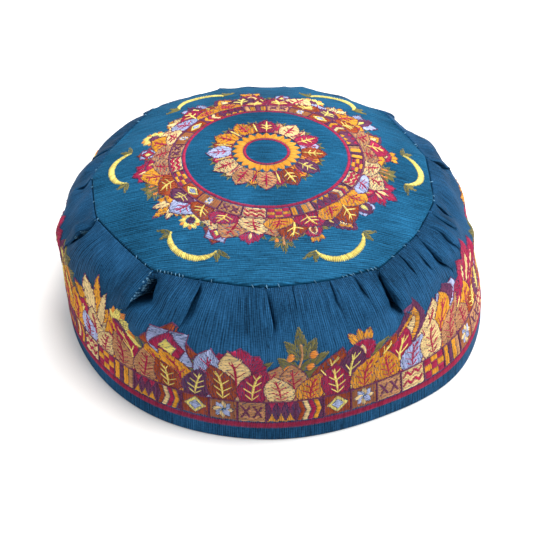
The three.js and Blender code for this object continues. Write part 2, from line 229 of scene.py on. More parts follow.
# corner is a share of SEAM_RADIUS; depth, reach and mouth are shares of the pleat sizes; deepest is a share
# of the pleat's own reach; sway is in degrees; and flap is the side of the fold that lies on top: -1 towards
# lower azimuths, 1 towards higher ones.
Pleat = namedtuple("Pleat", "azimuth corner depth reach sway flap mouth deepest")
PLEATS = [
    Pleat(-163, 1.0, 0.7, 0.85, -5, -1, 0.6, 0.4),
    Pleat(-136, 1.01, 0.8, 0.9, -6, -1, 0.7, 0.45),
    Pleat(-108, 0.975, 0.55, 0.7, -4, -1, 0.5, 0.4),
    Pleat(-90, 1.015, 0.3, 0.6, -3, -1, 0.4, 0.4),
    Pleat(-69, 1.03, 1.9, 1.15, -8, -1, 0.6, 0.35),
    Pleat(-37, 1.045, 2.3, 0.95, -6, -1, 1.7, 0.55),
    Pleat(-21, 0.99, 0.65, 1.1, -4, -1, 0.9, 0.45),
    Pleat(-1, 0.99, 0.85, 1.0, 2, -1, 0.7, 0.55),
    Pleat(20, 0.985, 0.22, 0.7, 3, 1, 0.5, 0.4),
    Pleat(37, 1.025, 1.75, 1.0, 5, 1, 0.95, 0.68),
    Pleat(58, 0.985, 1.0, 0.95, 6, 1, 0.5, 0.55),
    Pleat(77, 0.98, 0.25, 0.7, 4, 1, 0.4, 0.4),
    Pleat(103, 0.965, 0.6, 0.8, 4, 1, 0.5, 0.4),
    Pleat(134, 1.0, 0.8, 0.9, 5, 1, 0.7, 0.45),
    Pleat(167, 1.0, 0.7, 0.85, 4, 1, 0.6, 0.4),
]

# Smaller folds that don't reach the seam's corners.
CREASES = [
    Pleat(8, 1.0, 0.12, 0.6, 0, 1, 0.4, 0.4),
    Pleat(28, 1.0, 0.25, 0.6, 0, 1, 0.35, 0.4),
    Pleat(46, 1.0, 0.2, 0.6, 0, 1, 0.3, 0.45),
    Pleat(52, 1.0, 0.3, 0.8, 0, 1, 0.35, 0.5),
    Pleat(65, 1.0, 0.7, 0.85, 0, 1, 0.35, 0.5),
    Pleat(71, 1.0, 0.3, 0.7, 0, 1, 0.3, 0.5),
]


# Shape of the cloth. Every function here takes and gives numpy arrays.

def smoothstep(x, low, high):
    """0 up to low, 1 from high on, and a soft slope between them."""
    t = np.clip((x - low) / (high - low), 0, 1)
    return t * t * (3 - 2 * t)


def turn(start, end):
    """The signed angle from one azimuth to another, from -180 to 180."""
    return (end - start + 180) % 360 - 180


def smooth(a, b, c, d, t):
    """A smooth curve through b and c at a share t of the way, where a and d are their neighbours."""
    leave, arrive, rise = (c - a) / 2, (d - b) / 2, c - b
    return b + t * (leave + t * (3 * rise - 2 * leave - arrive + t * (leave + arrive - 2 * rise)))


def round_table(rows, key, azimuth):
    """One column of a table of evenly spaced azimuths, read smoothly round the cap."""
    values = np.array([getattr(row, key) for row in rows])
    place = ((azimuth - rows[0].azimuth) % 360) / (360 / len(rows))
    i = np.floor(place).astype(int)
    around = [values[(i + k) % len(values)] for k in (-1, 0, 1, 2)]
    return smooth(*around, place - i)


def between_pleats(azimuth):
    """The seam's corners on either side of an azimuth, the span between them and the way along it."""
    starts = np.array([pleat.azimuth for pleat in PLEATS])
    corners = SEAM_RADIUS * np.array([pleat.corner for pleat in PLEATS])
    turned = (azimuth - starts[0]) % 360
    i = np.searchsorted(starts - starts[0], turned, side="right") - 1
    after = (i + 1) % len(starts)
    span = (starts[after] - starts[i]) % 360
    along = turned - (starts[i] - starts[0])
    return corners[i], corners[after], span, along


def seam_radius(azimuth):
    """The seam runs from pleat to pleat, between a straight line and a round bow."""
    a, b, span, along = between_pleats(azimuth)
    chord = a * b * np.sin(np.radians(span))
    chord = chord / (a * np.sin(np.radians(along)) + b * np.sin(np.radians(span - along)))
    bow = a + (b - a) * along / span
    return chord + (bow - chord) * SEAM_ROUNDNESS


def wall_shares(x):
    """The rows of WALL, read smoothly at x rows above the rim."""
    i = np.clip(np.floor(x).astype(int), 0, len(WALL) - 2)
    shares = {}
    for key in WallRow._fields:
        values = np.array([getattr(row, key) for row in WALL])
        around = [values[np.clip(i + k, 0, len(WALL) - 1)] for k in (-1, 0, 1, 2)]
        shares[key] = smooth(*around, x - i)
    return shares


def bare_point(azimuth, x):
    """The wall without pleats: distance from the axis and height."""
    share = wall_shares(x)
    rim = RIM_RADIUS * round_table(OUTLINE, "rim", azimuth)
    shoulder = SHOULDER_RADIUS * round_table(OUTLINE, "shoulder", azimuth)
    seam = seam_radius(azimuth) + SEWN_GAP / 2
    out = share["rim"] * rim + share["shoulder"] * shoulder + share["seam"] * seam
    return out, share["rise"] * SEAM_HEIGHT


def wall_profile(steps=320):
    """Rows of WALL and the way along the cloth from the rim to each."""
    x = np.linspace(0, len(WALL) - 1, steps + 1)
    share = wall_shares(x)
    out = share["rim"] * RIM_RADIUS + share["shoulder"] * SHOULDER_RADIUS + share["seam"] * SEAM_RADIUS
    run = np.hypot(np.diff(out), np.diff(share["rise"] * SEAM_HEIGHT))
    return x, np.concatenate([[0], np.cumsum(run)])


PROFILE_X, PROFILE_RUN = wall_profile()
WALL_LENGTH = float(PROFILE_RUN[-1])


def rise_and_fall(below, grown, fading, gone):
    """Nothing at the seam, whole from grown to fading below it, and nothing again past gone."""
    return smoothstep(below, 0, grown) * (1 - smoothstep(below, fading, gone))


def ripple(u, v, columns, rows, seed):
    """Soft seeded noise from -1 to 1. u and v run from 0 to 1, and u closes on itself."""
    grid = np.random.default_rng(seed).uniform(-1, 1, (rows + 2, columns))
    x, y = (u % 1) * columns, np.clip(v, 0, 1) * rows
    i, j = np.floor(x).astype(int) % columns, np.floor(y).astype(int)
    fx, fy = smoothstep(x - np.floor(x), 0, 1), smoothstep(y - j, 0, 1)
    low = grid[j, i] * (1 - fx) + grid[j, (i + 1) % columns] * fx
    high = grid[j + 1, i] * (1 - fx) + grid[j + 1, (i + 1) % columns] * fx
    return low * (1 - fy) + high * fy


def pleat_folds(azimuth, below):
    """How far each point slides round the hat, in metres along the shoulder, and how far it stands out."""
    slide = np.zeros_like(azimuth)
    sink = np.zeros_like(azimuth)
    lift = np.zeros_like(azimuth)
    overlap = bpy.context.scene.cap_cloth.overlap
    for pleat in PLEATS + CREASES:
        across = np.radians(turn(pleat.azimuth, azimuth)) * SHOULDER_RADIUS * -pleat.flap
        reach = PLEAT_REACH * pleat.reach
        grow = np.clip(below / (reach * pleat.deepest), 0, 1)
        fade = pleat.depth * (1 - smoothstep(below, reach * pleat.deepest, reach))
        shut = 1 - smoothstep(below, reach * pleat.deepest, reach * (0.45 * pleat.deepest + 0.55))
        t = np.clip(across / PLEAT_FOLD, -1, 1)
        # The fold's edge laps over the cloth beside it.
        lap = overlap * np.minimum(fade, 1) * (0.6 + 0.4 * grow)
        slide += pleat.flap * lap * np.sin(np.pi * t) * (1 - t * t)
        # Under the edge the cloth sinks into an opening that widens downwards and closes at the pleat's end.
        mouth = PLEAT_OPENING * pleat.mouth * (0.25 + 0.75 * grow)
        rest = 1 - np.maximum(across, 0) / mouth
        opening = 0.3 * np.clip(rest, 0, 1) + 0.7 * smoothstep(rest, 0.4, 0.95)
        deep = PLEAT_DEPTH * fade * shut * (0.05 + 0.95 * smoothstep(grow, 0, 0.35))
        sink = np.maximum(sink, deep * smoothstep(t, -0.45, 0.3) * opening)
        # Behind the edge it stands up.
        ridge = np.exp(-(((across + RIDGE_BEHIND) / RIDGE_WIDTH) ** 2)) * (across < 0)
        lift = np.maximum(lift, FLAP_LIFT * fade * grow * ridge)
    return slide, lift - sink


def swayed(azimuth, below):
    """Azimuths of the cloth once its pleats hang aslant."""
    straight = smoothstep(below, PLEAT_REACH, PLEAT_REACH * SWAY_END)
    hold = np.clip(below / PLEAT_REACH, 0, 1) * (1 - straight)
    drift = 0
    for pleat in PLEATS:
        near = 1 - smoothstep(np.abs(turn(pleat.azimuth, azimuth)), 0, SWAY_SPREAD)
        drift = drift + pleat.sway * near * hold
    return azimuth + drift


def band_wrinkles(azimuth, below):
    """Small gathers under the seam, soft waves between the pleats and a slow wander of the rim."""
    u, v = azimuth / 360 + 0.5, below / WALL_LENGTH
    size = bpy.context.scene.cap_cloth.wrinkle
    gather = ripple(u, v, *BAND_GATHERS) * np.exp(-below / (10 * MM)) * smoothstep(below, 0, 2.5 * MM)
    wave = ripple(u, v, *BAND_WAVES) * rise_and_fall(below, 8 * MM, 26 * MM, 44 * MM)
    crumple = ripple(u, v, *BAND_CRUMPLES) * rise_and_fall(below, 8 * MM, 24 * MM, 38 * MM)
    slow = ripple(u, v, *BAND_WANDER) * smoothstep(below, 0, 12 * MM)
    return size * (0.6 * gather + 2.0 * wave + 0.6 * crumple + 0.4 * slow)


def wall_frame(azimuth, x):
    """A wall point with its slope: distance, height, and the outward normal's two parts."""
    step = 0.05
    out, height = bare_point(azimuth, x)
    ahead = bare_point(azimuth, np.minimum(x + step, len(WALL) - 1))
    behind = bare_point(azimuth, np.maximum(x - step, 0))
    run, rise = ahead[0] - behind[0], ahead[1] - behind[1]
    size = np.hypot(run, rise)
    return out, height, rise / size, -run / size


def round_points(distance, azimuth, height):
    """Points round the axis, and none below the surface that the cap stands on."""
    a = np.radians(azimuth)
    return np.stack([distance * np.sin(a), -distance * np.cos(a), np.maximum(height, 0)], axis=-1) + AXIS


def allowance_lean(tuck):
    """How far the turned-down edges lean to each other, so that they meet inside the seam."""
    return (SEWN_GAP / 2 - 0.02 * MM) * smoothstep(tuck, 0.4 * MM, 1.8 * MM)


def band_points(azimuth, from_rim, lift):
    """Points of the side band, a way up the cloth from the rim and a height above its outer face."""
    azimuth, from_rim, lift = (np.asarray(a, float) for a in np.broadcast_arrays(azimuth, from_rim, lift))
    below = WALL_LENGTH - from_rim
    slide, fold = pleat_folds(azimuth, below)
    there = swayed(azimuth, below) + np.degrees(slide / SHOULDER_RADIUS)
    _, _, span, along = between_pleats(azimuth)
    fullest = PLEAT_REACH * PUFF_FULLEST
    puff = PUFF * np.sin(np.pi * along / span) ** 2 * rise_and_fall(below, fullest, fullest, PLEAT_REACH)
    raised = lift + puff + fold + band_wrinkles(azimuth, below)
    x = np.interp(np.clip(from_rim, 0, WALL_LENGTH - BAND_ROLL), PROFILE_RUN, PROFILE_X)
    out, height, normal_out, normal_up = wall_frame(there, x)
    wall_out = out + raised * normal_out
    wall_up = height + raised * normal_up
    rolled = np.clip((BAND_ROLL - below) / BAND_ROLL, 0, 1)
    seam = seam_radius(there) + SEWN_GAP / 2
    radius = (out - seam) / (1 + normal_out)
    start = np.arctan2(normal_up, normal_out)
    angle = start + (np.pi - start) * rolled
    roll_out = out - radius * normal_out + (radius + raised) * np.cos(angle)
    roll_up = height - radius * normal_up + (radius + raised) * np.sin(angle)
    in_roll = below < BAND_ROLL
    tuck = np.clip(-below, 0, None)
    distance = np.where(in_roll, roll_out, wall_out) - allowance_lean(tuck)
    return round_points(distance, there, np.where(in_roll, roll_up, wall_up) - tuck)


def crown_relief(azimuth, distance, edge):
    """Puckers at the seam, soft folds, and plain cloth that stands up between the stitched rings."""
    size = bpy.context.scene.cap_cloth.wrinkle
    u = azimuth / 360 + 0.5
    pucker = ripple(u, distance / edge, *CROWN_PUCKERS) * np.exp(-(edge - distance) / (8 * MM))
    fold = ripple(u, distance / edge, *CROWN_FOLDS) * smoothstep(distance, WREATH_FROM, edge)
    x, y = distance * np.sin(np.radians(azimuth)), distance * np.cos(np.radians(azimuth))
    slow = ripple(x / 0.2 + 0.5, y / 0.2 + 0.5, *CROWN_SWELLS)
    ring = np.exp(-(((distance - PLAIN_RING) / PLAIN_RING_WIDTH) ** 2))
    plain = ring + np.exp(-((distance / PLAIN_MIDDLE_WIDTH) ** 2))
    return size * (0.5 * pucker + 0.6 * fold + 0.5 * slow) + PLAIN_RISE * plain


def crown_points(azimuth, distance, lift):
    """Points of the crown, a way out from its middle and a height above its upper face."""
    azimuth, distance, lift = (np.asarray(a, float) for a in np.broadcast_arrays(azimuth, distance, lift))
    edge = seam_radius(azimuth) - SEWN_GAP / 2
    flat_end = edge - CROWN_ROLL
    at = np.minimum(distance, flat_end)
    slope = 2 * CROWN_RISE * at / edge**2
    size = np.hypot(1, slope)
    normal_out, normal_up = slope / size, 1 / size
    height = SEAM_HEIGHT + CROWN_RISE * (1 - (at / edge) ** 2)
    rolled = np.clip((distance - flat_end) / CROWN_ROLL, 0, 1)
    raised = lift + crown_relief(azimuth, at, edge) * (1 - rolled)
    radius = CROWN_ROLL / (1 - normal_out)
    start = np.arctan2(normal_up, normal_out)
    angle = start * (1 - rolled)
    roll_out = at - radius * normal_out + (radius + raised) * np.cos(angle)
    roll_up = height - radius * normal_up + (radius + raised) * np.sin(angle)
    in_roll = distance > flat_end
    tuck = np.clip(distance - edge, 0, None)
    out = np.where(in_roll, roll_out, at + raised * normal_out)
    up = np.where(in_roll, roll_up, height + raised * normal_up)
    return round_points(out + allowance_lean(tuck), azimuth, up - tuck)


# Making meshes.

def linear(hex_colour):
    """An sRGB hex colour as linear values with alpha."""
    parts = [int(hex_colour[i:i + 2], 16) / 255 for i in (1, 3, 5)]
    return tuple(p / 12.92 if p <= 0.04045 else ((p + 0.055) / 1.055) ** 2.4 for p in parts) + (1.0,)


def finish_piece(mesh, name, nodes):
    """Puts a mesh in the scene as a piece that stands for CAD nodes."""
    piece = bpy.data.objects.new(name, mesh)
    bpy.context.scene.collection.objects.link(piece)
    for polygon in mesh.polygons:
        polygon.use_smooth = True
    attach(piece, "root")
    if nodes:
        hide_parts(*nodes)
    return piece


def cloth_grid(name, across, along, place, uv):
    """A grid of cloth. place and uv take a vertex's two grid numbers, as arrays."""
    bm = bmesh.new()
    bmesh.ops.create_grid(bm, x_segments=across, y_segments=along, size=1.0)
    bm.verts.ensure_lookup_table()
    corner = np.array([v.co[:2] for v in bm.verts])
    i = np.rint((corner[:, 0] + 1) / 2 * across).astype(int)
    j = np.rint((corner[:, 1] + 1) / 2 * along).astype(int)
    points, flat = place(i, j), uv(i, j)
    layer = bm.loops.layers.uv.new("cloth")
    for face in bm.faces:
        for loop in face.loops:
            loop[layer].uv = flat[loop.vert.index]
    for vertex, point in zip(bm.verts, points):
        vertex.co = point
    # Joins the last column to the first, where the cloth goes all the way round.
    bmesh.ops.remove_doubles(bm, verts=bm.verts[:], dist=0.01 * MM)
    bm.faces.ensure_lookup_table()
    # The highest face tells whether the grid came out inside out.
    face = max(bm.faces, key=lambda f: f.calc_center_median().z)
    bm.normal_update()
    if face.normal.z < 0:
        bmesh.ops.reverse_faces(bm, faces=bm.faces[:])
    mesh = bpy.data.meshes.new(name)
    bm.to_mesh(mesh)
    bm.free()
    return mesh


def give_thickness(piece, ply):
    """Thickens a cloth inwards, away from its stitched face."""
    wall = piece.modifiers.new("ply", "SOLIDIFY")
    wall.thickness = ply
    wall.offset = -1
    wall.use_even_offset = False


def band_columns():
    """Azimuths of the band's columns, close together in each fold."""
    fine = np.degrees(FOLD_COLUMNS_REACH / SHOULDER_RADIUS)
    folds = sorted(pleat.azimuth for pleat in PLEATS + CREASES)
    found = []
    for start, end in zip(folds, folds[1:] + [folds[0] + 360]):
        spread = np.linspace(-1, 1, FOLD_COLUMNS, endpoint=False)
        found += list(start + fine * (0.45 * spread + 0.55 * spread**3))
        room = end - start - 2 * fine
        steps = max(2, round(room / PLAIN_COLUMN_DEGREES))
        if room > 0:
            found += list(start + fine + room * np.arange(steps) / steps)
    found = np.unique(np.round(found, 3))
    return np.append(found, found[0] + 360)


def band_rows(ply):
    """The cloth's path from inside the seam, down the wall, round the hem and up inside."""
    fold = ply + 0.1 * MM
    rows = [(WALL_LENGTH + SEAM_ALLOWANCE * k / ALLOWANCE_ROWS, 0.0) for k in range(ALLOWANCE_ROWS, 0, -1)]
    rows += [(WALL_LENGTH - BAND_ROLL * k / ROLL_ROWS, 0.0) for k in range(ROLL_ROWS)]
    wall = WALL_LENGTH - BAND_ROLL - fold
    steps = round(wall / ROW_HEIGHT)
    rows += [(fold + wall * (1 - k / steps), 0.0) for k in range(steps)]
    for k in range(ROLL_ROWS):
        a = math.pi * k / (ROLL_ROWS - 1)
        rows.append((fold - fold * math.sin(a), -fold + fold * math.cos(a)))
    rows += [(fold + (HEM_TURN - fold) * k / HEM_ROWS, -2 * fold) for k in range(1, HEM_ROWS + 1)]
    return np.array(rows)


# Materials.

def add_node(tree, kind, links=None, **settings):
    """Adds a node. settings are its own values, or sockets where the name is one of its inputs."""
    node = tree.nodes.new(kind)
    for name, value in settings.items():
        if hasattr(node, name):
            setattr(node, name, value)
        else:
            node.inputs[name.replace("_", " ")].default_value = value
    for socket, source in (links or {}).items():
        tree.links.new(source, node.inputs[socket])
    return node


def new_material(name):
    """An empty material and its node tree."""
    material = bpy.data.materials.new(name)
    material.use_nodes = True
    material.node_tree.nodes.clear()
    return material, material.node_tree


def object_of(tree):
    return add_node(tree, "ShaderNodeTexCoord").outputs["Object"]


def noise(tree, coordinates, scale, detail=2.0, **settings):
    return add_node(
        tree, "ShaderNodeTexNoise", {"Vector": coordinates}, Scale=scale, Detail=detail, **settings
    ).outputs["Fac"]


def weighted(tree, source, weight, plus=0.0):
    """source times weight, plus a number or another node's value."""
    linked = isinstance(plus, bpy.types.NodeSocket)
    links = {0: source, 2: plus} if linked else {0: source}
    node = add_node(tree, "ShaderNodeMath", links, operation="MULTIPLY_ADD")
    node.inputs[1].default_value = weight
    if not linked:
        node.inputs[2].default_value = plus
    return node.outputs[0]


def surface(tree, links, **settings):
    """Ends a material with one principled shader."""
    shader = add_node(tree, "ShaderNodeBsdfPrincipled", links, **settings)
    add_node(tree, "ShaderNodeOutputMaterial", {"Surface": shader.outputs["BSDF"]})


def along_threads(tree, coordinates, size, along_x):
    """Coordinates in which a streak is one unit wide and one unit long. size is its pitch and its length."""
    pitch, length = size
    scale = (1 / length, 1 / pitch, 1 / pitch) if along_x else (1 / pitch, 1 / length, 1 / pitch)
    return add_node(tree, "ShaderNodeMapping", {"Vector": coordinates}, Scale=scale).outputs["Vector"]


def streaks(tree, coordinates, size, along_x, detail=2.0):
    """Noise drawn out along the threads."""
    return noise(tree, along_threads(tree, coordinates, size, along_x), 1.0, detail, Roughness=0.6)


def ribs(tree, coordinates, size, along_x):
    """Even ribs of the weave, that wander a little over their length."""
    # At a scale of 1 the texture repeats every pi / 10, so this scale gives one rib to the unit.
    return add_node(
        tree, "ShaderNodeTexWave", {"Vector": along_threads(tree, coordinates, size, along_x)},
        bands_direction="Y" if along_x else "X", Scale=math.pi / 10, Distortion=2.5, Detail=2.0,
    ).outputs["Fac"]


def silk_dupioni(name, along_x, contrast, colour):
    """Dupioni silk, woven: uneven threads give fine streaks and slubs and a faint gloss, and a quiet sheen
    is painted into its colour as broad lighter and darker patches.
    """
    material, tree = new_material(name)
    coordinates = add_node(tree, "ShaderNodeUVMap", uv_map="cloth").outputs["UV"]
    mixed = weighted(tree, ribs(tree, coordinates, RIB_SIZE, along_x), 0.07)
    mixed = weighted(tree, streaks(tree, coordinates, FINE_SIZE, along_x, 3.0), 0.31, mixed)
    mixed = weighted(tree, streaks(tree, coordinates, SLUB_SIZE, along_x), 0.19, mixed)
    mixed = weighted(tree, streaks(tree, coordinates, CROSS_SIZE, not along_x), 0.18, mixed)
    # Broad lighter and darker patches in the colour: painted sheen of the silk.
    mixed = weighted(tree, noise(tree, coordinates, 1 / PAINTED_SHEEN_PATCH, 4.0), 0.25, mixed)
    ramp = add_node(tree, "ShaderNodeValToRGB", {"Fac": mixed})
    dark, middle, light = shades(colour)
    stops = ramp.color_ramp.elements
    stops[0].position, stops[0].color = 0.5 - 0.08 / contrast, dark
    stops[1].position, stops[1].color = 0.5 + 0.095 / contrast, light
    stops.new(0.5).color = middle
    bump = add_node(tree, "ShaderNodeBump", {"Height": mixed}, Strength=0.8, Distance=0.4 * MM)
    links = {"Base Color": ramp.outputs["Color"], "Normal": bump.outputs["Normal"]}
    surface(tree, links, Roughness=0.6, Specular_IOR_Level=0.03)
    return material


def shades(colour):
    """The darkest, middle and lightest threads of one silk."""
    # The small amount added to the lightest stop whitens it a little: painted glints of the fibres.
    return [
        tuple(min(1.0, c * factor + pale) for c in colour[:3]) + (1.0,)
        for factor, pale in ((0.3, 0.0), (1.0, 0.0), (2.0, 0.004))
    ]


def rayon_thread(colour_name, colour):
    """Rayon embroidery thread, spun: its gloss and the dye's small changes tell one stitch from the next."""
    material, tree = new_material(f"rayon_thread_{colour_name}")
    shade = add_node(tree, "ShaderNodeAttribute", attribute_name="shade").outputs["Fac"]
    fibre = noise(tree, object_of(tree), 1 / THREAD_GRAIN, 1.0)
    lighter = weighted(tree, fibre, 0.4, weighted(tree, shade, 0.7))
    mix = add_node(tree, "ShaderNodeMix", {0: lighter}, data_type="RGBA")
    mix.inputs[6].default_value = tuple(c * 0.6 for c in colour[:3]) + (1.0,)
    mix.inputs[7].default_value = tuple(min(1.0, c * 1.3 + 0.01) for c in colour[:3]) + (1.0,)
    surface(tree, {"Base Color": mix.outputs[2]}, Roughness=0.5, Specular_IOR_Level=0.16)
    return material


# Thread colours, by the plain name that the patterns below use.
THREADS = {
    "crimson": "#a8204b",
    "rust": "#9e431c",
    "ochre": "#d9982c",
    "yellow": "#f2d678",
    "cream": "#e8c890",
    "tan": "#c08d62",
    "brown": "#a0633a",
    "plum": "#6a3357",
    "lilac": "#a9b2d6",
    "olive": "#77703f",
    "orange": "#e0903c",
    "teal": "#5d8fb0",
    # Crimson darkened for the stripe at the band's foot: painted shade where the light only grazes it.
    "garnet": "#991c44",
}


def thread_materials():
    """The thread materials in one fixed order, made once."""
    found = []
    for colour_name, hex_colour in THREADS.items():
        known = bpy.data.materials.get(f"rayon_thread_{colour_name}")
        found.append(known or rayon_thread(colour_name, linear(hex_colour)))
    return found


# Stitching.

Field = namedtuple("Field", "part colour outline angle")
Stitch = namedtuple("Stitch", "part colour ends width lift")

# Later fields are looked up by stretches of the pattern of this length.
STRETCH = 12 * MM


def box_of(outline):
    """Lowest x, lowest y, highest x and highest y."""
    xs, ys = zip(*outline)
    return min(xs), min(ys), max(xs), max(ys)


def turned_by(outline, c, s):
    """An outline turned back by the angle of this cosine and sine."""
    return [(x * c + y * s, y * c - x * s) for x, y in outline]


def level_spans(outline, y):
    """The stretches of a level line that lie inside a closed outline."""
    found = []
    for (xa, ya), (xb, yb) in zip(outline, outline[1:] + outline[:1]):
        if (ya <= y) != (yb <= y):
            found.append(xa + (xb - xa) * (y - ya) / (yb - ya))
    found.sort()
    return list(zip(found[::2], found[1::2]))


def cut_away(spans, covered):
    """What is left of some stretches once others cover them."""
    for low, high in covered:
        left = []
        for start, end in spans:
            if end <= low or start >= high:
                left.append((start, end))
                continue
            if start < low:
                left.append((start, low))
            if end > high:
                left.append((high, end))
        spans = left
    return spans


class Needle:
    """Draws on a flat pattern, x along the border and y across it, and then sews what it drew.

    What is drawn later lies on top. No stitch is sewn under a later field, as in a well planned embroidery.
    """

    def __init__(self, seed, around):
        thread = bpy.context.scene.cap_thread
        self.pitch = thread.pitch
        self.longest = thread.longest
        self.around = around
        self.rng = random.Random(seed)
        self.part = "whole"
        self.drawn = []
        self.rows = {}

    def fill(self, outline, colour, angle=90.0):
        """Satin stitch inside a closed outline. angle is the thread's direction, 0 along x."""
        self.drawn.append(Field(self.part, colour, outline, angle))

    def stitch(self, x0, y0, x1, y1, colour, lift=0.0, width=None):
        """One stitch. lift is a share of the thread's relief."""
        width = width or self.pitch * THREAD_SHARE
        self.drawn.append(Stitch(self.part, colour, (x0, y0, x1, y1), width, lift))

    def edged(self, outline, colour, angle=90.0, edge="plum"):
        """A filled shape with a line of back stitch round it."""
        self.fill(outline, colour, angle)
        left = 0.0
        for (xa, ya), (xb, yb) in zip(outline, outline[1:] + outline[:1]):
            length = math.hypot(xb - xa, yb - ya)
            if length < 0.01 * MM:
                continue
            dx, dy = (xb - xa) / length, (yb - ya) / length
            while left < length:
                end = min(left + EDGE_STEP, length + SHORTEST_STITCH)
                ends = (xa + dx * left, ya + dy * left, xa + dx * end, ya + dy * end)
                self.stitch(*ends, edge, 0.3, EDGE_WIDTH)
                left += EDGE_STEP
            left -= length

    def column(self, path, width, colour, lift=0.6, slant=0.25, taper=False):
        """Satin column: short stitches across a line, narrower towards its ends where it tapers."""
        points = [np.array(p, float) for p in path]
        total = sum(float(np.hypot(*(b - a))) for a, b in zip(points, points[1:]))
        left, done = 0.0, 0.0
        for a, b in zip(points, points[1:]):
            way = b - a
            length = float(np.hypot(*way))
            if length == 0:
                continue
            way = way / length
            side = np.array([-way[1], way[0]]) + way * slant
            while left <= length:
                middle = a + way * left
                share = math.sin(math.pi * min(1.0, (done + left) / total)) ** 0.6 if taper else 1
                half = width / 2 * max(0.25, share) + self.wander(COLUMN_WANDER)
                p, q = middle - side * half, middle + side * half
                self.stitch(*p, *q, colour, lift)
                left += self.pitch
            left -= length
            done += length

    def wander(self, most):
        return self.rng.uniform(-most, most)

    def covers(self):
        """Every field by the stretches that it reaches, with copies of it past the join at the back."""
        found = {}
        for order, item in enumerate(self.drawn):
            if not isinstance(item, Field):
                continue
            for shift in (-self.around, 0.0, self.around):
                outline = [(x + shift, y) for x, y in item.outline]
                box = box_of(outline)
                beyond = 0.6 * self.around
                if box[2] < -beyond or box[0] > beyond:
                    continue
                for k in range(math.floor(box[0] / STRETCH), math.floor(box[2] / STRETCH) + 1):
                    found.setdefault(k, []).append((order, shift, box, outline))
        return found

    def sew(self):
        """The stitches of each part, as rows of both ends, width, lift, colour and shade."""
        covers = self.covers()
        for order, item in enumerate(self.drawn):
            if isinstance(item, Field):
                low_x, low_y, high_x, high_y = box_of(item.outline)
            else:
                low_x, high_x = sorted(item.ends[0::2])
                low_y, high_y = sorted(item.ends[1::2])
            above = {}
            for k in range(math.floor(low_x / STRETCH), math.floor(high_x / STRETCH) + 1):
                for number, shift, box, outline in covers.get(k, ()):
                    beside = box[2] < low_x or box[0] > high_x or box[3] < low_y or box[1] > high_y
                    if number > order and not beside:
                        above[number, shift] = outline
            if isinstance(item, Field):
                self.satin(item, above.values())
                continue
            x, y = (low_x + high_x) / 2, (low_y + high_y) / 2
            spans = [span for outline in above.values() for span in level_spans(outline, y)]
            if not any(start < x < end for start, end in spans):
                self.lay(item.part, item.ends, item.width, item.lift, item.colour)
        return self.rows

    def satin(self, field, above):
        """Rows of satin stitch inside a field, where no later field lies above it."""
        c, s = math.cos(math.radians(field.angle)), math.sin(math.radians(field.angle))
        turned = turned_by(field.outline, c, s)
        hidden = [turned_by(outline, c, s) for outline in above]
        _, low, _, high = box_of(turned)
        count = max(1, round((high - low) / self.pitch))
        for k in range(count):
            y = low + (high - low) * (k + 0.5) / count
            covered = [span for outline in hidden for span in level_spans(outline, y)]
            for start, end in cut_away(level_spans(turned, y), covered):
                for a, b in self.cuts(start, end, k):
                    a += self.wander(END_WANDER)
                    b += self.wander(END_WANDER)
                    ya = y + self.wander(SIDE_WANDER)
                    yb = y + self.wander(SIDE_WANDER)
                    ends = (a * c - ya * s, a * s + ya * c, b * c - yb * s, b * s + yb * c)
                    self.lay(field.part, ends, self.pitch * THREAD_SHARE, 0.0, field.colour)

    def cuts(self, start, end, k):
        """One line of stitches, broken in brick order where it is long."""
        places = [start, end]
        length = end - start
        if length > self.longest:
            pieces = math.ceil(length / self.longest)
            step = length / pieces
            first = step * (0.5 + 0.33 * ((k % 3) - 1))
            places = [start] + [start + first + step * i for i in range(pieces)] + [end]
            places = [place for place in places if start <= place <= end]
        return [(a, b) for a, b in zip(places, places[1:]) if b - a >= SHORTEST_STITCH]

    def lay(self, part, ends, width, lift, colour):
        """Keeps one finished stitch with its colour's number and its own shade."""
        row = (*ends, width, lift, list(THREADS).index(colour), self.rng.random())
        self.rows.setdefault(part, []).append(row)


# A stitch's course: share of its length, and how high it stands as a share of the thread's relief.
SHORT_COURSE = ((0.0, 0.0), (0.28, 1.0), (0.72, 1.0), (1.0, 0.0))
LONG_COURSE = ((0.0, 0.0), (0.14, 0.85), (0.5, 1.0), (0.86, 0.85), (1.0, 0.0))
STITCH_SIDES = ((-0.5, 0.0), (0.0, 1.0), (0.5, 0.0))


def stitch_shapes(rows, course, place, relief):
    """Vertices and faces of closed stitches that all share one course."""
    start, end, width, layer = rows[:, 0:2], rows[:, 2:4], rows[:, 4], rows[:, 5]
    way = end - start
    length = np.maximum(np.hypot(way[:, 0], way[:, 1]), 1e-6)
    side = np.stack([-way[:, 1], way[:, 0]], axis=1) / length[:, None]
    points = []
    for share, stand in course:
        narrow = 0.55 + 0.45 * stand
        for across, up in STITCH_SIDES:
            flat = start + way * share + side * (width * across * narrow)[:, None]
            lift = relief * (up * (0.12 + 0.88 * stand) + layer) - THREAD_SINKS * (1 - up)
            points.append(place(flat[:, 0], flat[:, 1], lift))
    vertices = np.stack(points, axis=1).reshape(-1, 3)
    sides, sections = len(STITCH_SIDES), len(course)
    last = (sections - 1) * sides
    faces = [(2, 1, 0), (last, last + 1, last + 2)]
    for i in range(sections - 1):
        for k in range(sides):
            a, b = i * sides + k, i * sides + (k + 1) % sides
            faces += [(a, b, b + sides), (a, b + sides, a + sides)]
    return vertices, np.array(faces)


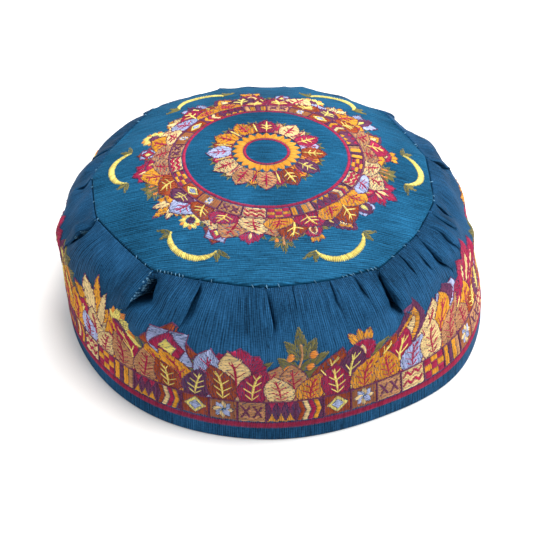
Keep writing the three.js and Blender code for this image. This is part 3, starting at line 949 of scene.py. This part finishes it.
def embroidery_mesh(name, rows, place):
    """One joined mesh of all stitches of a piece: a shade for each stitch, a material for each colour."""
    relief = bpy.context.scene.cap_thread.relief
    rows = np.array(rows)
    short = np.hypot(rows[:, 2] - rows[:, 0], rows[:, 3] - rows[:, 1]) < SHORT_STITCH_TO
    points, faces, colours, shade_values, first = [], [], [], [], 0
    for course, chosen in ((SHORT_COURSE, rows[short]), (LONG_COURSE, rows[~short])):
        if not len(chosen):
            continue
        vertices, template = stitch_shapes(chosen, course, place, relief)
        each = len(vertices) // len(chosen)
        offsets = first + each * np.arange(len(chosen))
        faces.append((template[None, :, :] + offsets[:, None, None]).reshape(-1, 3))
        points.append(vertices)
        colours.append(np.repeat(chosen[:, 6].astype(np.int32), len(template)))
        shade_values.append(np.repeat(chosen[:, 7], each))
        first += len(vertices)
    mesh = bpy.data.meshes.new(name)
    mesh.from_pydata(np.concatenate(points), [], np.concatenate(faces))
    for material in thread_materials():
        mesh.materials.append(material)
    mesh.polygons.foreach_set("material_index", np.concatenate(colours))
    shade = mesh.attributes.new("shade", "FLOAT", "POINT")
    shade.data.foreach_set("value", np.concatenate(shade_values))
    if facing_in(mesh):
        mesh.flip_normals()
    return mesh


def facing_in(mesh):
    """Whether a closed mesh is inside out, from its signed volume."""
    mesh.calc_loop_triangles()
    points = np.zeros(len(mesh.vertices) * 3)
    mesh.vertices.foreach_get("co", points)
    corners = np.zeros(len(mesh.loop_triangles) * 3, dtype=np.int32)
    mesh.loop_triangles.foreach_get("vertices", corners)
    a, b, c = points.reshape(-1, 3)[corners.reshape(-1, 3)].transpose(1, 0, 2)
    return float((a * np.cross(b, c)).sum()) < 0


def on_band(x, y, lift):
    return band_points(np.degrees(x / RIM_RADIUS), y, lift)


def on_crown(x, y, lift):
    return crown_points(np.degrees(x / CROWN_RULE), y, lift)


def on_rosette(x, y, lift):
    return crown_points(np.degrees(x / ROSETTE_RULE), y, lift)


# Outlines of motifs. All lengths are metres on the flat pattern.

def box_shape(x0, y0, x1, y1):
    return [(x0, y0), (x1, y0), (x1, y1), (x0, y1)]


def oval(cx, cy, rx, ry, steps=20, start=0, end=360):
    angles = [math.radians(start + (end - start) * k / steps) for k in range(steps)]
    return [(cx + rx * math.cos(a), cy + ry * math.sin(a)) for a in angles]


def lozenge(cx, cy, rx, ry):
    return [(cx - rx, cy), (cx, cy - ry), (cx + rx, cy), (cx, cy + ry)]


def petal(cx, cy, length, width, direction=90.0, steps=9, blunt=0.8):
    """A pointed petal from its base at cx, cy."""
    c, s = math.cos(math.radians(direction)), math.sin(math.radians(direction))
    outline = []
    for side in (1, -1):
        for k in range(steps):
            t = k / steps if side == 1 else 1 - k / steps
            half = side * width / 2 * math.sin(math.pi * t**blunt) ** 0.8
            outline.append((cx + length * t * c - half * s, cy + length * t * s + half * c))
    return outline


def leaf(cx, y0, width, height, lean=0.0, steps=7):
    """A broad upright leaf: narrow at its foot, widest below the middle, and drawn out to a point."""
    right, left = [], []
    for k in range(steps + 1):
        t = k / steps
        half = width / 2 * 1.3 * (1 - t) ** 0.95 * (0.55 + 1.9 * t)
        middle = cx + lean * t * t
        right.append((middle + half, y0 + height * t))
        left.append((middle - half, y0 + height * t))
    return right + left[-2::-1]


# Tiles of the lowest row. Each takes the needle and the tile's corners.

def middle_and_size(x0, y0, x1, y1):
    return (x0 + x1) / 2, (y0 + y1) / 2, x1 - x0, y1 - y0


def tile_bars(needle, x0, y0, x1, y1):
    step = (x1 - x0) / 4
    for k, (colour, angle) in enumerate((("ochre", 90), ("plum", 0), ("ochre", 90), ("tan", 0))):
        needle.fill(box_shape(x0 + k * step, y0, x0 + (k + 0.92) * step, y1), colour, angle)


def tile_diamond(needle, x0, y0, x1, y1):
    cx, cy, w, h = middle_and_size(x0, y0, x1, y1)
    needle.fill(box_shape(x0, y0, x1, y1), "rust", 90)
    needle.fill(lozenge(cx, cy, w * 0.42, h * 0.42), "yellow", 90)
    needle.fill(lozenge(cx, cy, w * 0.24, h * 0.24), "lilac", 0)


def tile_zigzag(needle, x0, y0, x1, y1):
    needle.fill(box_shape(x0, y0, x1, y1), "cream", 0)
    w, h, points = x1 - x0, y1 - y0, 5
    for base in (0.3, 0.72):
        ups = [base + (0.14 if k % 2 else -0.08) for k in range(points + 1)]
        path = [(x0 + w * (0.06 + 0.88 * k / points), y0 + h * up) for k, up in enumerate(ups)]
        needle.column(path, 1.3 * MM, "crimson")


def tile_teeth(needle, x0, y0, x1, y1):
    """Two rows of saw teeth that point to each other."""
    needle.fill(box_shape(x0, y0, x1, y1), "plum", 90)
    w, h, teeth = x1 - x0, y1 - y0, 3
    for k in range(teeth):
        left, right = x0 + w * k / teeth, x0 + w * (k + 1) / teeth
        needle.fill([(left, y0), (right, y0), ((left + right) / 2, y0 + h * 0.42)], "ochre", 90)
        needle.fill([(left, y1), (right, y1), ((left + right) / 2, y1 - h * 0.42)], "crimson", 90)


def tile_crosses(needle, x0, y0, x1, y1):
    needle.fill(box_shape(x0, y0, x1, y1), "tan", 0)
    w, h = x1 - x0, y1 - y0
    for k in range(2):
        cx, cy = x0 + w * (0.28 + 0.44 * k), (y0 + y1) / 2
        for sign in (-1, 1):
            path = [(cx - w * 0.16, cy - sign * h * 0.28), (cx + w * 0.16, cy + sign * h * 0.28)]
            needle.column(path, 1.1 * MM, "plum")


def tile_checks(needle, x0, y0, x1, y1):
    columns, rows = 3, 3
    w, h = (x1 - x0) / columns, (y1 - y0) / rows
    for i in range(columns):
        for j in range(rows):
            odd = (i + j) % 2
            square = box_shape(x0 + i * w, y0 + j * h, x0 + (i + 1) * w, y0 + (j + 1) * h)
            needle.fill(square, "ochre" if odd else "crimson", 90 if odd else 0)


def tile_chevrons(needle, x0, y0, x1, y1):
    w, colours = x1 - x0, ("rust", "cream", "crimson", "ochre", "plum")
    step, dip = w / len(colours), w * 0.16
    middle = (y0 + y1) / 2
    needle.fill(box_shape(x0, y0, x1, y1), "plum", 90)
    for k, colour in enumerate(colours):
        left, right = x0 + k * step, x0 + (k + 1) * step
        bend = min(dip, x1 - right)
        front = [(left, y0), (right, y0), (right + bend, middle)]
        needle.fill(front + [(right, y1), (left, y1), (left + dip, middle)], colour, 0)


def tile_star(needle, x0, y0, x1, y1):
    cx, cy, w, h = middle_and_size(x0, y0, x1, y1)
    needle.fill(box_shape(x0, y0, x1, y1), "brown", 90)
    for k in range(8):
        direction = 45 * k
        needle.fill(petal(cx, cy, h * 0.46, h * 0.26, direction), "lilac" if k % 2 else "cream", direction)


TILES = (
    tile_bars, tile_diamond, tile_zigzag, tile_teeth, tile_star, tile_checks, tile_chevrons, tile_crosses,
)


# Flowers of the upper row. Each takes the needle, the middle of its foot, and its width and height.

def foot_leaves(needle, cx, y0, w, h):
    for side in (-1, 1):
        direction = 90 - side * 50
        blade = petal(cx + side * w * 0.08, y0 + h * 0.1, w * 0.56, w * 0.2, direction)
        needle.fill(blade, "olive", direction)


def flower_pomegranate(needle, cx, y0, w, h):
    foot_leaves(needle, cx, y0, w, h)
    r = min(w * 0.42, h * 0.37)
    cy = y0 + h - 1.75 * r
    for k in (-1, 0, 1):
        direction = 90 - 30 * k
        tip = petal(cx + k * r * 0.22, cy + r * 0.78, r * 0.95, r * 0.55, direction)
        needle.edged(tip, "ochre", direction)
    needle.edged(oval(cx, cy, r, r), "crimson", 90)
    needle.fill(petal(cx, cy - r * 0.8, r * 1.5, r * 1.05), "cream", 0)
    needle.fill(petal(cx, cy - r * 0.5, r, r * 0.5), "rust", 90)


def flower_almond(needle, cx, y0, w, h):
    foot_leaves(needle, cx, y0, w, h)
    for colour, foot, length, wide, turned in (
        ("plum", 0.0, 1.0, 0.8, 0), ("ochre", 0.1, 0.74, 0.54, 90), ("cream", 0.2, 0.46, 0.28, 90),
    ):
        outline = petal(cx - w * 0.07, y0 + h * foot, h * length, w * wide, 76, 12, 0.6)
        needle.edged(outline, colour, 76 + turned)


def flower_tulip(needle, cx, y0, w, h):
    foot_leaves(needle, cx, y0, w, h)
    for side in (-1, 1):
        direction = 90 - side * 25
        needle.edged(petal(cx, y0 + h * 0.1, h * 0.88, w * 0.5, direction), "lilac", direction)
    needle.edged(petal(cx, y0 + h * 0.08, h * 0.92, w * 0.5), "plum", 90)
    needle.fill(petal(cx, y0 + h * 0.2, h * 0.5, w * 0.2), "yellow", 0)


def flower_fan(needle, cx, y0, w, h):
    for k in (-4, 4, -2, 2, 0, -3, 3, -1, 1):
        colour, direction = "cream" if k % 2 else "ochre", 90 - 21 * k
        length = h * 0.97 - (h * 0.97 - w * 0.5) * abs(k) / 4
        needle.edged(petal(cx, y0, length, w * 0.27, direction, blunt=1.2), colour, direction)
    needle.edged(oval(cx, y0 + h * 0.06, w * 0.19, w * 0.19), "crimson", 0)


def flower_daisy(needle, cx, y0, w, h):
    foot_leaves(needle, cx, y0, w, h)
    r = min(w * 0.48, h * 0.5)
    cy = y0 + h - r
    for k in (*range(0, 12, 2), *range(1, 12, 2)):
        direction, colour = 30 * k, "yellow" if k % 2 else "orange"
        needle.fill(petal(cx, cy, r, r * 0.52, direction, blunt=1.2), colour, direction)
    needle.edged(oval(cx, cy, r * 0.36, r * 0.36, 14), "plum", 0)


def flower_star(needle, cx, y0, w, h):
    foot_leaves(needle, cx, y0, w, h)
    r = min(w * 0.48, h * 0.5)
    cy = y0 + h - r
    needle.edged(lozenge(cx, cy, r, r), "rust", 90)
    needle.edged(box_shape(cx - r * 0.66, cy - r * 0.66, cx + r * 0.66, cy + r * 0.66), "lilac", 0)
    needle.edged(lozenge(cx, cy, r * 0.62, r * 0.62), "crimson", 90)
    needle.fill(lozenge(cx, cy, r * 0.3, r * 0.3), "yellow", 0)


def flower_carnation(needle, cx, y0, w, h):
    foot_leaves(needle, cx, y0, w, h)
    for k in (-2, 2, -1, 1, 0):
        direction = 90 - 27 * k
        length = h * (0.95 - 0.09 * abs(k))
        outer = petal(cx, y0 + h * 0.03, length, w * 0.4, direction, blunt=1.5)
        inner = petal(cx, y0 + h * 0.15, length * 0.6, w * 0.11, direction, blunt=1.5)
        needle.edged(outer, "crimson", direction)
        needle.fill(inner, "cream", direction)


def flower_spray(needle, cx, y0, w, h):
    for low, angle, size in ((0.05, 62, 0.6), (0.24, 52, 0.58), (0.44, 36, 0.5)):
        for side in (-1, 1):
            direction = 90 - side * angle
            needle.fill(petal(cx, y0 + h * low, w * size, w * 0.22, direction), "olive", direction)
    needle.fill(petal(cx, y0 + h * 0.5, h * 0.5, w * 0.22), "olive", 90)
    needle.column([(cx, y0), (cx, y0 + h * 0.72)], 1.0 * MM, "tan")
    for side in (-1, 1):
        for low in (0.3, 0.52):
            needle.fill(oval(cx + side * w * 0.2, y0 + h * low, w * 0.08, w * 0.08, 10), "orange", 0)


FLOWERS = (
    flower_pomegranate, flower_almond, flower_tulip, flower_fan, flower_daisy, flower_star, flower_carnation,
    flower_spray,
)

# Share of the border's height that each motif's ground and peak take, as in the cap's solids.
MOTIF_GROUNDS = (0.5, 0.58, 0.54, 0.62, 0.52, 0.6, 0.56, 0.64)
MOTIF_PEAKS = (1.0, 0.84, 0.92, 0.8, 0.98, 0.86, 0.94, 0.82)
LEAF_COLOURS = (
    "crimson", "cream", "plum", "ochre", "lilac", "rust", "cream",
    "ochre", "tan", "crimson", "ochre", "tan", "rust",
)
TILE_SHARE = 0.22


def frieze_leaf(needle, cx, y0, width, height, step, lean=0.0):
    """A leaf with a stem and side veins of another colour."""
    outer = LEAF_COLOURS[(step * 5) % len(LEAF_COLOURS)]
    vein = "yellow" if outer in ("plum", "rust", "crimson") else "crimson"
    needle.edged(leaf(cx, y0, width, height, lean), outer, 0 if outer in ("cream", "tan") else 90)
    stem = [(cx + lean * t * t, y0 + height * t) for t in (0.06, 0.25, 0.45, 0.65, 0.84)]
    needle.column(stem, 1.1 * MM, vein, taper=True)
    pairs = list(zip(stem[:4], (0.22, 0.3, 0.25, 0.14)))
    for (x, y), size in pairs if height > TALL_LEAF else pairs[1:3]:
        for side in (-1, 1):
            needle.stitch(x, y, x + side * width * size, y + height * 0.15, vein, 0.5, VEIN_WIDTH)


def flower_row(needle, y0, height, cell):
    """One flower to a cell. Their order shifts with each set, so that no two sets look alike."""
    needle.part = "flowers"
    for i in range(BORDER_CELLS):
        motif = i % len(FLOWERS)
        foot = y0 + height * (0.4 * TILE_SHARE + 0.6 * MOTIF_GROUNDS[motif])
        top = y0 + height * MOTIF_PEAKS[motif]
        turned = (motif + 3 * (i // len(FLOWERS))) % len(FLOWERS)
        FLOWERS[turned](needle, cell * (i + 0.5 - BORDER_CELLS / 2), foot, cell * 0.98, top - foot)


def leaf_row(needle, y0, height, cell, tiles):
    """Leaves in two rows that overlap, so that no cloth shows between them."""
    tile, foot = cell / tiles, y0 + height * TILE_SHARE
    for row, shift, wide, tall in ((1, 0.0, 1.1, 1.35), (0, 0.5, 1.06, 0.92)):
        needle.part = "back_leaves" if row else "front_leaves"
        for i in range(BORDER_CELLS * tiles):
            x = tile * (i + shift - BORDER_CELLS * tiles / 2)
            ground = height * (MOTIF_GROUNDS[(i // tiles) % len(MOTIF_GROUNDS)] - TILE_SHARE)
            lean = tile * (0.3 if (i + row) % 2 else -0.3)
            frieze_leaf(needle, x, foot, tile * wide, ground * tall, i * 2 + row, lean)


def tile_row(needle, y0, height, cell, tiles):
    """The lowest row, parted and topped by plum columns."""
    needle.part = "tiles"
    gap, tile, top = 0.4 * MM, cell / tiles, y0 + height * TILE_SHARE
    for i in range(BORDER_CELLS * tiles):
        x0 = tile * (i - BORDER_CELLS * tiles / 2)
        TILES[(i * 3 + i // 8) % len(TILES)](needle, x0 + gap, y0, x0 + tile - gap, top)
        needle.column([(x0, y0), (x0, top)], 0.9 * MM, "plum", 0.4, 0.1)
    width = cell * BORDER_CELLS
    needle.column([(-width / 2, top), (width / 2, top)], 1.0 * MM, "plum", 0.4, 0.3)


def circle_path(radius, rule):
    """A whole turn at one distance, on a pattern whose x is measured at another."""
    steps = 180
    return [(rule * math.radians(-180 + 360 * k / steps), radius) for k in range(steps + 1)]


# Sizes and colours that a user would change.

def length_setting(name, description, default):
    return bpy.props.FloatProperty(name=name, description=description, default=default, unit="LENGTH")


def colour_setting(name, description, default):
    return bpy.props.FloatVectorProperty(
        name=name, description=description, default=linear(default), size=4, subtype="COLOR"
    )


class CapCloth(bpy.types.PropertyGroup):
    """The silk and how it lies. The band is the same silk as the crown, set a little darker as painted shade
    for the light that falls across its threads.
    """

    ply: length_setting("Ply", "Thickness of the cloth with its backing", 0.8 * MM)
    overlap: length_setting("Overlap", "How far a full pleat laps over the cloth beside it", 5 * MM)
    wrinkle: length_setting("Wrinkle", "Height of the gathers and waves", 0.9 * MM)
    crown_silk: colour_setting("Crown silk", "Colour of the crown's silk", "#174e6f")
    # The band's colour is the crown's silk darkened as painted shade.
    band_silk: colour_setting("Band silk", "Colour of the band's silk", "#184162")


class CapThread(bpy.types.PropertyGroup):
    """The embroidery thread. Real stitches lie closer, and are drawn this coarse so that each one shows."""

    pitch: length_setting("Pitch", "Distance from one stitch to the next", 0.52 * MM)
    relief: length_setting("Relief", "How high a stitch stands on the cloth", 0.42 * MM)
    longest: length_setting("Longest stitch", "Longer lines are broken up", 5.2 * MM)


class CapStudio(bpy.types.PropertyGroup):
    """Camera and floor."""

    distance: length_setting("Distance", "From the middle of the rim to the camera", 0.75)
    elevation: bpy.props.FloatProperty(
        name="Elevation", description="Height of the camera above the level", default=math.radians(39.99),
        unit="ROTATION",
    )
    lens: bpy.props.FloatProperty(name="Lens", description="Focal length in millimetres", default=111.6)
    floor: colour_setting("Floor", "Colour of the floor", "#f4f4f3")


class CAP_OT_sew_band(bpy.types.Operator):
    """Make the pleated side band with its hem turned up inside"""

    bl_idname = "cap.sew_band"
    bl_label = "Sew side band"

    def execute(self, context):
        cloth = context.scene.cap_cloth
        columns, rows = band_columns(), band_rows(cloth.ply)

        def place(i, j):
            return band_points(columns[i], rows[j, 0], rows[j, 1])

        def uv(i, j):
            """Metres on the flat band, moved so that none is below 0."""
            slide = pleat_folds(columns[i], WALL_LENGTH - rows[j, 0])[0]
            around = np.radians(columns[i]) * RIM_RADIUS + slide + 0.35
            return np.stack([around, rows[j, 0] - rows[j, 1] * 8 + 0.02], axis=1)

        mesh = cloth_grid("band_cloth", len(columns) - 1, len(rows) - 1, place, uv)
        # The band's silk colour holds painted shade, darker than the crown's.
        mesh.materials.append(silk_dupioni("dupioni_silk_band", False, 0.92, cloth.band_silk))
        piece = finish_piece(mesh, "band_cloth", ["side_band"])
        give_thickness(piece, cloth.ply)
        return {"FINISHED"}


class CAP_OT_sew_crown(bpy.types.Operator):
    """Make the crown panel with its edge turned down into the seam"""

    bl_idname = "cap.sew_crown"
    bl_label = "Sew crown panel"

    def execute(self, context):
        cloth = context.scene.cap_cloth
        half, roll, tuck = CROWN_RINGS, CROWN_ROLL_RINGS, ALLOWANCE_ROWS
        count = 2 * (half + roll + tuck)

        def ring_place(i, j):
            """Square grid to disc: each square ring of the grid becomes one round ring of the crown."""
            x, y = i - count / 2, j - count / 2
            ring = np.maximum(np.abs(x), np.abs(y))
            safe = np.maximum(ring, 1)
            side = np.abs(x) >= np.abs(y)
            short = np.where(side, y, x) / safe
            angle = np.where(
                side,
                np.where(x > 0, 90 + 45 * short, -90 - 45 * short),
                np.where(y > 0, 180 - 45 * short, 45 * short),
            )
            edge = seam_radius(angle) - SEWN_GAP / 2
            inner = np.minimum(ring, half) / half * (edge - CROWN_ROLL)
            rolled = np.clip(ring - half, 0, roll) / roll * CROWN_ROLL
            tucked = np.clip(ring - half - roll, 0, None) / tuck * SEAM_ALLOWANCE
            return angle, inner + rolled + tucked

        def place(i, j):
            angle, distance = ring_place(i, j)
            return crown_points(angle, distance, 0.0)

        def uv(i, j):
            """Metres on the flat crown, moved so that none is below 0."""
            angle, distance = ring_place(i, j)
            a = np.radians(angle)
            return np.stack([distance * np.sin(a) + 0.1, 0.1 - distance * np.cos(a)], axis=1)

        mesh = cloth_grid("crown_cloth", count, count, place, uv)
        mesh.materials.append(silk_dupioni("dupioni_silk_crown", True, 0.75, cloth.crown_silk))
        piece = finish_piece(mesh, "crown_cloth", ["crown_panel"])
        give_thickness(piece, cloth.ply)
        return {"FINISHED"}


def embroider(name, seed, y0, height, cell, tiles, place, nodes):
    """A border as four pieces: its tiles, which stand for the nodes, two rows of leaves, and the flowers."""
    needle = Needle(seed, cell * BORDER_CELLS)
    flower_row(needle, y0, height, cell)
    leaf_row(needle, y0, height, cell, tiles)
    tile_row(needle, y0, height, cell, tiles)
    for part, rows in needle.sew().items():
        piece = f"{name}_{part}"
        mesh = embroidery_mesh(piece, rows, place)
        finish_piece(mesh, piece, nodes if part == "tiles" else [])


def stitch_piece(name, needle, place, nodes):
    """What one needle drew as one piece."""
    rows = [row for part in needle.sew().values() for row in part]
    finish_piece(embroidery_mesh(name, rows, place), name, nodes)


class CAP_OT_stitch_border(bpy.types.Operator):
    """Embroider the border and the plain stripe on the side band"""

    bl_idname = "cap.stitch_border"
    bl_label = "Embroider side band"

    def execute(self, context):
        around = 2 * math.pi * RIM_RADIUS
        stripe = Needle(31, around)
        middle = STRIPE_ABOVE_RIM + STRIPE_WIDTH / 2
        # The stripe is sewn in the darkened crimson: painted shade.
        stripe.column(circle_path(middle, RIM_RADIUS), STRIPE_WIDTH, "garnet", 0.0, 0.15)
        stitch_piece("stripe_stitches", stripe, on_band, ["hem_stripe"])
        cell = around / BORDER_CELLS
        embroider("border", 51, BORDER_FROM, BORDER_HEIGHT, cell, 2, on_band, ["band_border"])
        return {"FINISHED"}


class CAP_OT_stitch_crown(bpy.types.Operator):
    """Embroider the circles, the zigzag ring, the rosette and the wreath on the crown"""

    bl_idname = "cap.stitch_crown"
    bl_label = "Embroider crown"

    def execute(self, context):
        for seed, name, node, radius, width in (
            (41, "crown_line_stitches", "crown_line", CROWN_LINE_RADIUS, CROWN_LINE_WIDTH * 1.25),
            (42, "centre_line_stitches", "centre_line", CENTRE_LINE_RADIUS, CENTRE_LINE_WIDTH * 1.25),
        ):
            needle = Needle(seed, 2 * math.pi * CROWN_RULE)
            needle.pitch *= CROWN_RULE / radius
            needle.column(circle_path(radius, CROWN_RULE), width, "crimson", 0.0, 0.15)
            stitch_piece(name, needle, on_crown, [node])
        self.sun()
        self.rosette()
        cell = 2 * math.pi * CROWN_RULE / BORDER_CELLS
        height = WREATH_RADIUS - WREATH_FROM
        embroider("wreath", 45, WREATH_FROM, height, cell, 1, on_crown, ["crown_wreath"])
        self.tendrils()
        return {"FINISHED"}

    def tendrils(self):
        """Tapered crescents with leaves at both ends, evenly spaced round the wreath."""
        needle = Needle(48, 2 * math.pi * CROWN_RULE)
        for k in range(CRESCENTS):
            x = needle.around * (k + 0.5 - CRESCENTS / 2) / CRESCENTS
            for side in (-1, 1):
                foot = x + side * CRESCENT_RADIUS * 0.95
                for direction in (90 - side * 15, 90 - side * 60):
                    needle.fill(petal(foot, WREATH_RADIUS, 6 * MM, 1.9 * MM, direction), "olive", direction)
            arc = oval(x, WREATH_RADIUS - 2 * MM, CRESCENT_RADIUS, CRESCENT_RADIUS, 40, 165, 15)
            needle.column(arc, CRESCENT_WIDTH, "yellow", 0.3, 0.2, True)
        stitch_piece("tendril_stitches", needle, on_crown, [])

    def sun(self):
        """Radial stitches whose ends rise and fall in points."""
        needle = Needle(43, 2 * math.pi * CROWN_RULE)
        inside = CENTRE_LINE_RADIUS + CENTRE_LINE_WIDTH / 2 + 0.2 * MM
        for k in range(SUN_STITCHES):
            azimuth = 360 * k / SUN_STITCHES
            wave = abs((azimuth * SUN_POINTS / 360) % 1 - 0.5) * 2
            x = CROWN_RULE * math.radians(azimuth)
            end = SUN_RADIUS + 0.4 * MM - 1.5 * SUN_POINT * (1 - wave)
            colour = "ochre" if k % 4 else "orange"
            needle.stitch(x, inside, x, end, colour, 0.0, SUN_THREAD * CROWN_RULE / SUN_THREAD_AT)
        stitch_piece("sun_stitches", needle, on_crown, ["sun_ring"])

    def rosette(self):
        """Leaves round the zigzag ring in two rows, with olive tips between them."""
        needle = Needle(44, 2 * math.pi * ROSETTE_RULE)
        cell = needle.around / ROSETTE_PETALS
        inside, height = SUN_RADIUS + 0.2 * MM, ROSETTE_RADIUS - SUN_RADIUS - 0.2 * MM
        for k in range(ROSETTE_PETALS):
            cx = cell * (k + 0.5 - ROSETTE_PETALS / 2)
            for side in (-1, 1):
                tip = petal(cx, inside + height * 0.5, height * 0.5, 1.7 * MM, 90 - side * 18)
                needle.fill(tip, "olive", 90 - side * 18)
            frieze_leaf(needle, cx, inside, cell * 0.66, height * 0.82, k * 2 + 1)
        for k in range(ROSETTE_PETALS):
            frieze_leaf(needle, cell * (k - ROSETTE_PETALS / 2), inside, cell * 0.84, height, k * 2)
        stitch_piece("rosette_stitches", needle, on_rosette, ["crown_rosette"])


class CAP_OT_stitch_seam(bpy.types.Operator):
    """Sew the crown to the band with slanted hand stitches"""

    bl_idname = "cap.stitch_seam"
    bl_label = "Sew seam"

    def execute(self, context):
        length = 2 * math.pi * SEAM_RADIUS
        needle = Needle(61, length)
        count = round(length / SEAM_STITCH_STEP)
        for k in range(count):
            x = length * (k - count / 2) / count
            azimuth = math.degrees(x / SEAM_RADIUS)
            loose = min(abs(azimuth - place) for place in LOOSE_PLACES) < LOOSE_REACH
            if needle.rng.random() > (0.85 if loose else 0.12):
                continue
            lean = needle.rng.uniform(0.3, 0.9) * MM
            reach = needle.rng.uniform(0.45, 0.75) * MM
            needle.stitch(x, -reach, x + lean, reach, "teal", 0.0, SEAM_THREAD)

        def across_seam(x, y, lift):
            azimuth = np.degrees(x / SEAM_RADIUS)
            crown = crown_points(azimuth, seam_radius(azimuth) - SEWN_GAP / 2 - CROWN_ROLL, lift)
            band = band_points(azimuth, np.full_like(azimuth, WALL_LENGTH - BAND_ROLL), lift)
            share = np.clip(y / (1.8 * MM) + 0.5, 0, 1)[:, None]
            return crown * (1 - share) + band * share

        stitch_piece("seam_stitches", needle, across_seam, [])
        self.pleat_edges()
        return {"FINISHED"}

    def pleat_edges(self):
        """Loose thread ends along the edges of the two widest pleats."""
        needle = Needle(62, 2 * math.pi * RIM_RADIUS)
        for azimuth, flap, count in ((-37, -1, 26), (-69, -1, 12)):
            for k in range(count):
                below = (1.5 + 15 * k / count) * MM
                out = flap * needle.rng.uniform(0.2, 1.0) * MM
                x = math.radians(azimuth) * RIM_RADIUS + out * RIM_RADIUS / SHOULDER_RADIUS
                y = WALL_LENGTH - below
                lean = needle.rng.uniform(-0.2, 0.9) * MM
                down = needle.rng.uniform(0.7, 1.3) * MM
                needle.stitch(x, y, x - flap * lean, y - down, "teal", 0.0, LOOSE_THREAD)
        stitch_piece("pleat_edge_stitches", needle, on_band, [])


class CAP_OT_set_stage(bpy.types.Operator):
    """Set up the pale floor, the soft lights and the camera"""

    bl_idname = "cap.set_stage"
    bl_label = "Set stage"

    def execute(self, context):
        scene, studio = context.scene, context.scene.cap_studio
        self.camera(scene, studio)
        self.floor(scene, studio)
        for lamp in LAMPS:
            self.light(scene, lamp)
        world = bpy.data.worlds.new("pale_room")
        world.use_nodes = True
        tree = world.node_tree
        background = tree.nodes["Background"]
        background.inputs["Color"].default_value = linear("#ffffff")
        # The camera sees white where the lamps' light ends, and the cap is lit by the quieter room.
        seen = add_node(tree, "ShaderNodeLightPath").outputs["Is Camera Ray"]
        strength = weighted(tree, seen, ROOM_SEEN_BRIGHTER, ROOM_LIGHT)
        tree.links.new(strength, background.inputs["Strength"])
        scene.world = world
        scene.view_settings.view_transform = "Standard"
        return {"FINISHED"}

    def camera(self, scene, studio):
        """The photo's camera, aimed at the middle of the rim, which falls below the picture's centre."""
        data = bpy.data.cameras.new("photo_camera")
        data.lens = studio.lens
        data.sensor_width = SENSOR_WIDTH
        data.shift_y = PICTURE_SHIFT
        data.clip_end = 50
        camera = bpy.data.objects.new("photo_camera", data)
        target = Vector(AXIS)
        e = studio.elevation
        camera.location = target + studio.distance * Vector((0, -math.cos(e), math.sin(e)))
        camera.rotation_euler = (math.pi / 2 - e, 0, 0)
        scene.collection.objects.link(camera)
        scene.camera = camera

    def floor(self, scene, studio):
        """A wide matt card, which catches the cap's soft shadow."""
        bm = bmesh.new()
        bmesh.ops.create_grid(bm, x_segments=2, y_segments=2, size=FLOOR_HALF)
        mesh = bpy.data.meshes.new("floor")
        bm.to_mesh(mesh)
        bm.free()
        material, tree = new_material("matt_white_card")
        grain = noise(tree, object_of(tree), 1 / CARD_GRAIN)
        bump = add_node(tree, "ShaderNodeBump", {"Height": grain}, Strength=0.04, Distance=0.1 * MM)
        # The card stays white to the camera beyond the light of the lamps.
        far = add_node(tree, "ShaderNodeVectorMath", {0: object_of(tree)}, operation="LENGTH")
        fill = add_node(
            tree, "ShaderNodeMapRange", {"Value": far.outputs["Value"]}, From_Min=0.25, From_Max=1.0,
            To_Min=0.06, To_Max=0.7,
        )
        seen = add_node(tree, "ShaderNodeLightPath").outputs["Is Camera Ray"]
        glow = add_node(tree, "ShaderNodeMath", {0: fill.outputs["Result"], 1: seen}, operation="MULTIPLY")
        links = {"Normal": bump.outputs["Normal"], "Emission Strength": glow.outputs[0]}
        white = linear("#ffffff")
        surface(tree, links, Base_Color=studio.floor, Roughness=0.9, Emission_Color=white)
        mesh.materials.append(material)
        floor = bpy.data.objects.new("floor", mesh)
        scene.collection.objects.link(floor)

    def light(self, scene, lamp):
        data = bpy.data.lights.new(lamp.name, "AREA")
        data.size, data.energy = lamp.size, lamp.power
        light = bpy.data.objects.new(lamp.name, data)
        light.location = lamp.place
        aim = Vector(LAMP_TARGET) - Vector(lamp.place)
        light.rotation_euler = aim.to_track_quat("-Z", "Y").to_euler()
        scene.collection.objects.link(light)


STEPS = (
    CAP_OT_set_stage, CAP_OT_sew_band, CAP_OT_sew_crown, CAP_OT_stitch_seam, CAP_OT_stitch_border,
    CAP_OT_stitch_crown,
)


class CAP_PT_panel(bpy.types.Panel):
    """Sizes, colours and steps of the skullcap"""

    bl_idname = "CAP_PT_panel"
    bl_label = "Skullcap"
    bl_space_type = "VIEW_3D"
    bl_region_type = "UI"
    bl_category = "Skullcap"

    def draw(self, context):
        for group in (context.scene.cap_cloth, context.scene.cap_thread, context.scene.cap_studio):
            box = self.layout.box()
            for name in group.__annotations__:
                box.prop(group, name)
        for step in STEPS:
            self.layout.operator(step.bl_idname)


GROUPS = {"cap_cloth": CapCloth, "cap_thread": CapThread, "cap_studio": CapStudio}


def register():
    for name, group in GROUPS.items():
        bpy.utils.register_class(group)
        setattr(bpy.types.Scene, name, bpy.props.PointerProperty(type=group))
    for item in (*STEPS, CAP_PT_panel):
        bpy.utils.register_class(item)


def unregister():
    for item in (CAP_PT_panel, *reversed(STEPS)):
        bpy.utils.unregister_class(item)
    for name, group in GROUPS.items():
        delattr(bpy.types.Scene, name)
        bpy.utils.unregister_class(group)


def main():
    register()
    bpy.ops.cap.set_stage()
    bpy.ops.cap.sew_band()
    bpy.ops.cap.sew_crown()
    bpy.ops.cap.stitch_seam()
    bpy.ops.cap.stitch_border()
    bpy.ops.cap.stitch_crown()


if __name__ == "__main__":
    main()
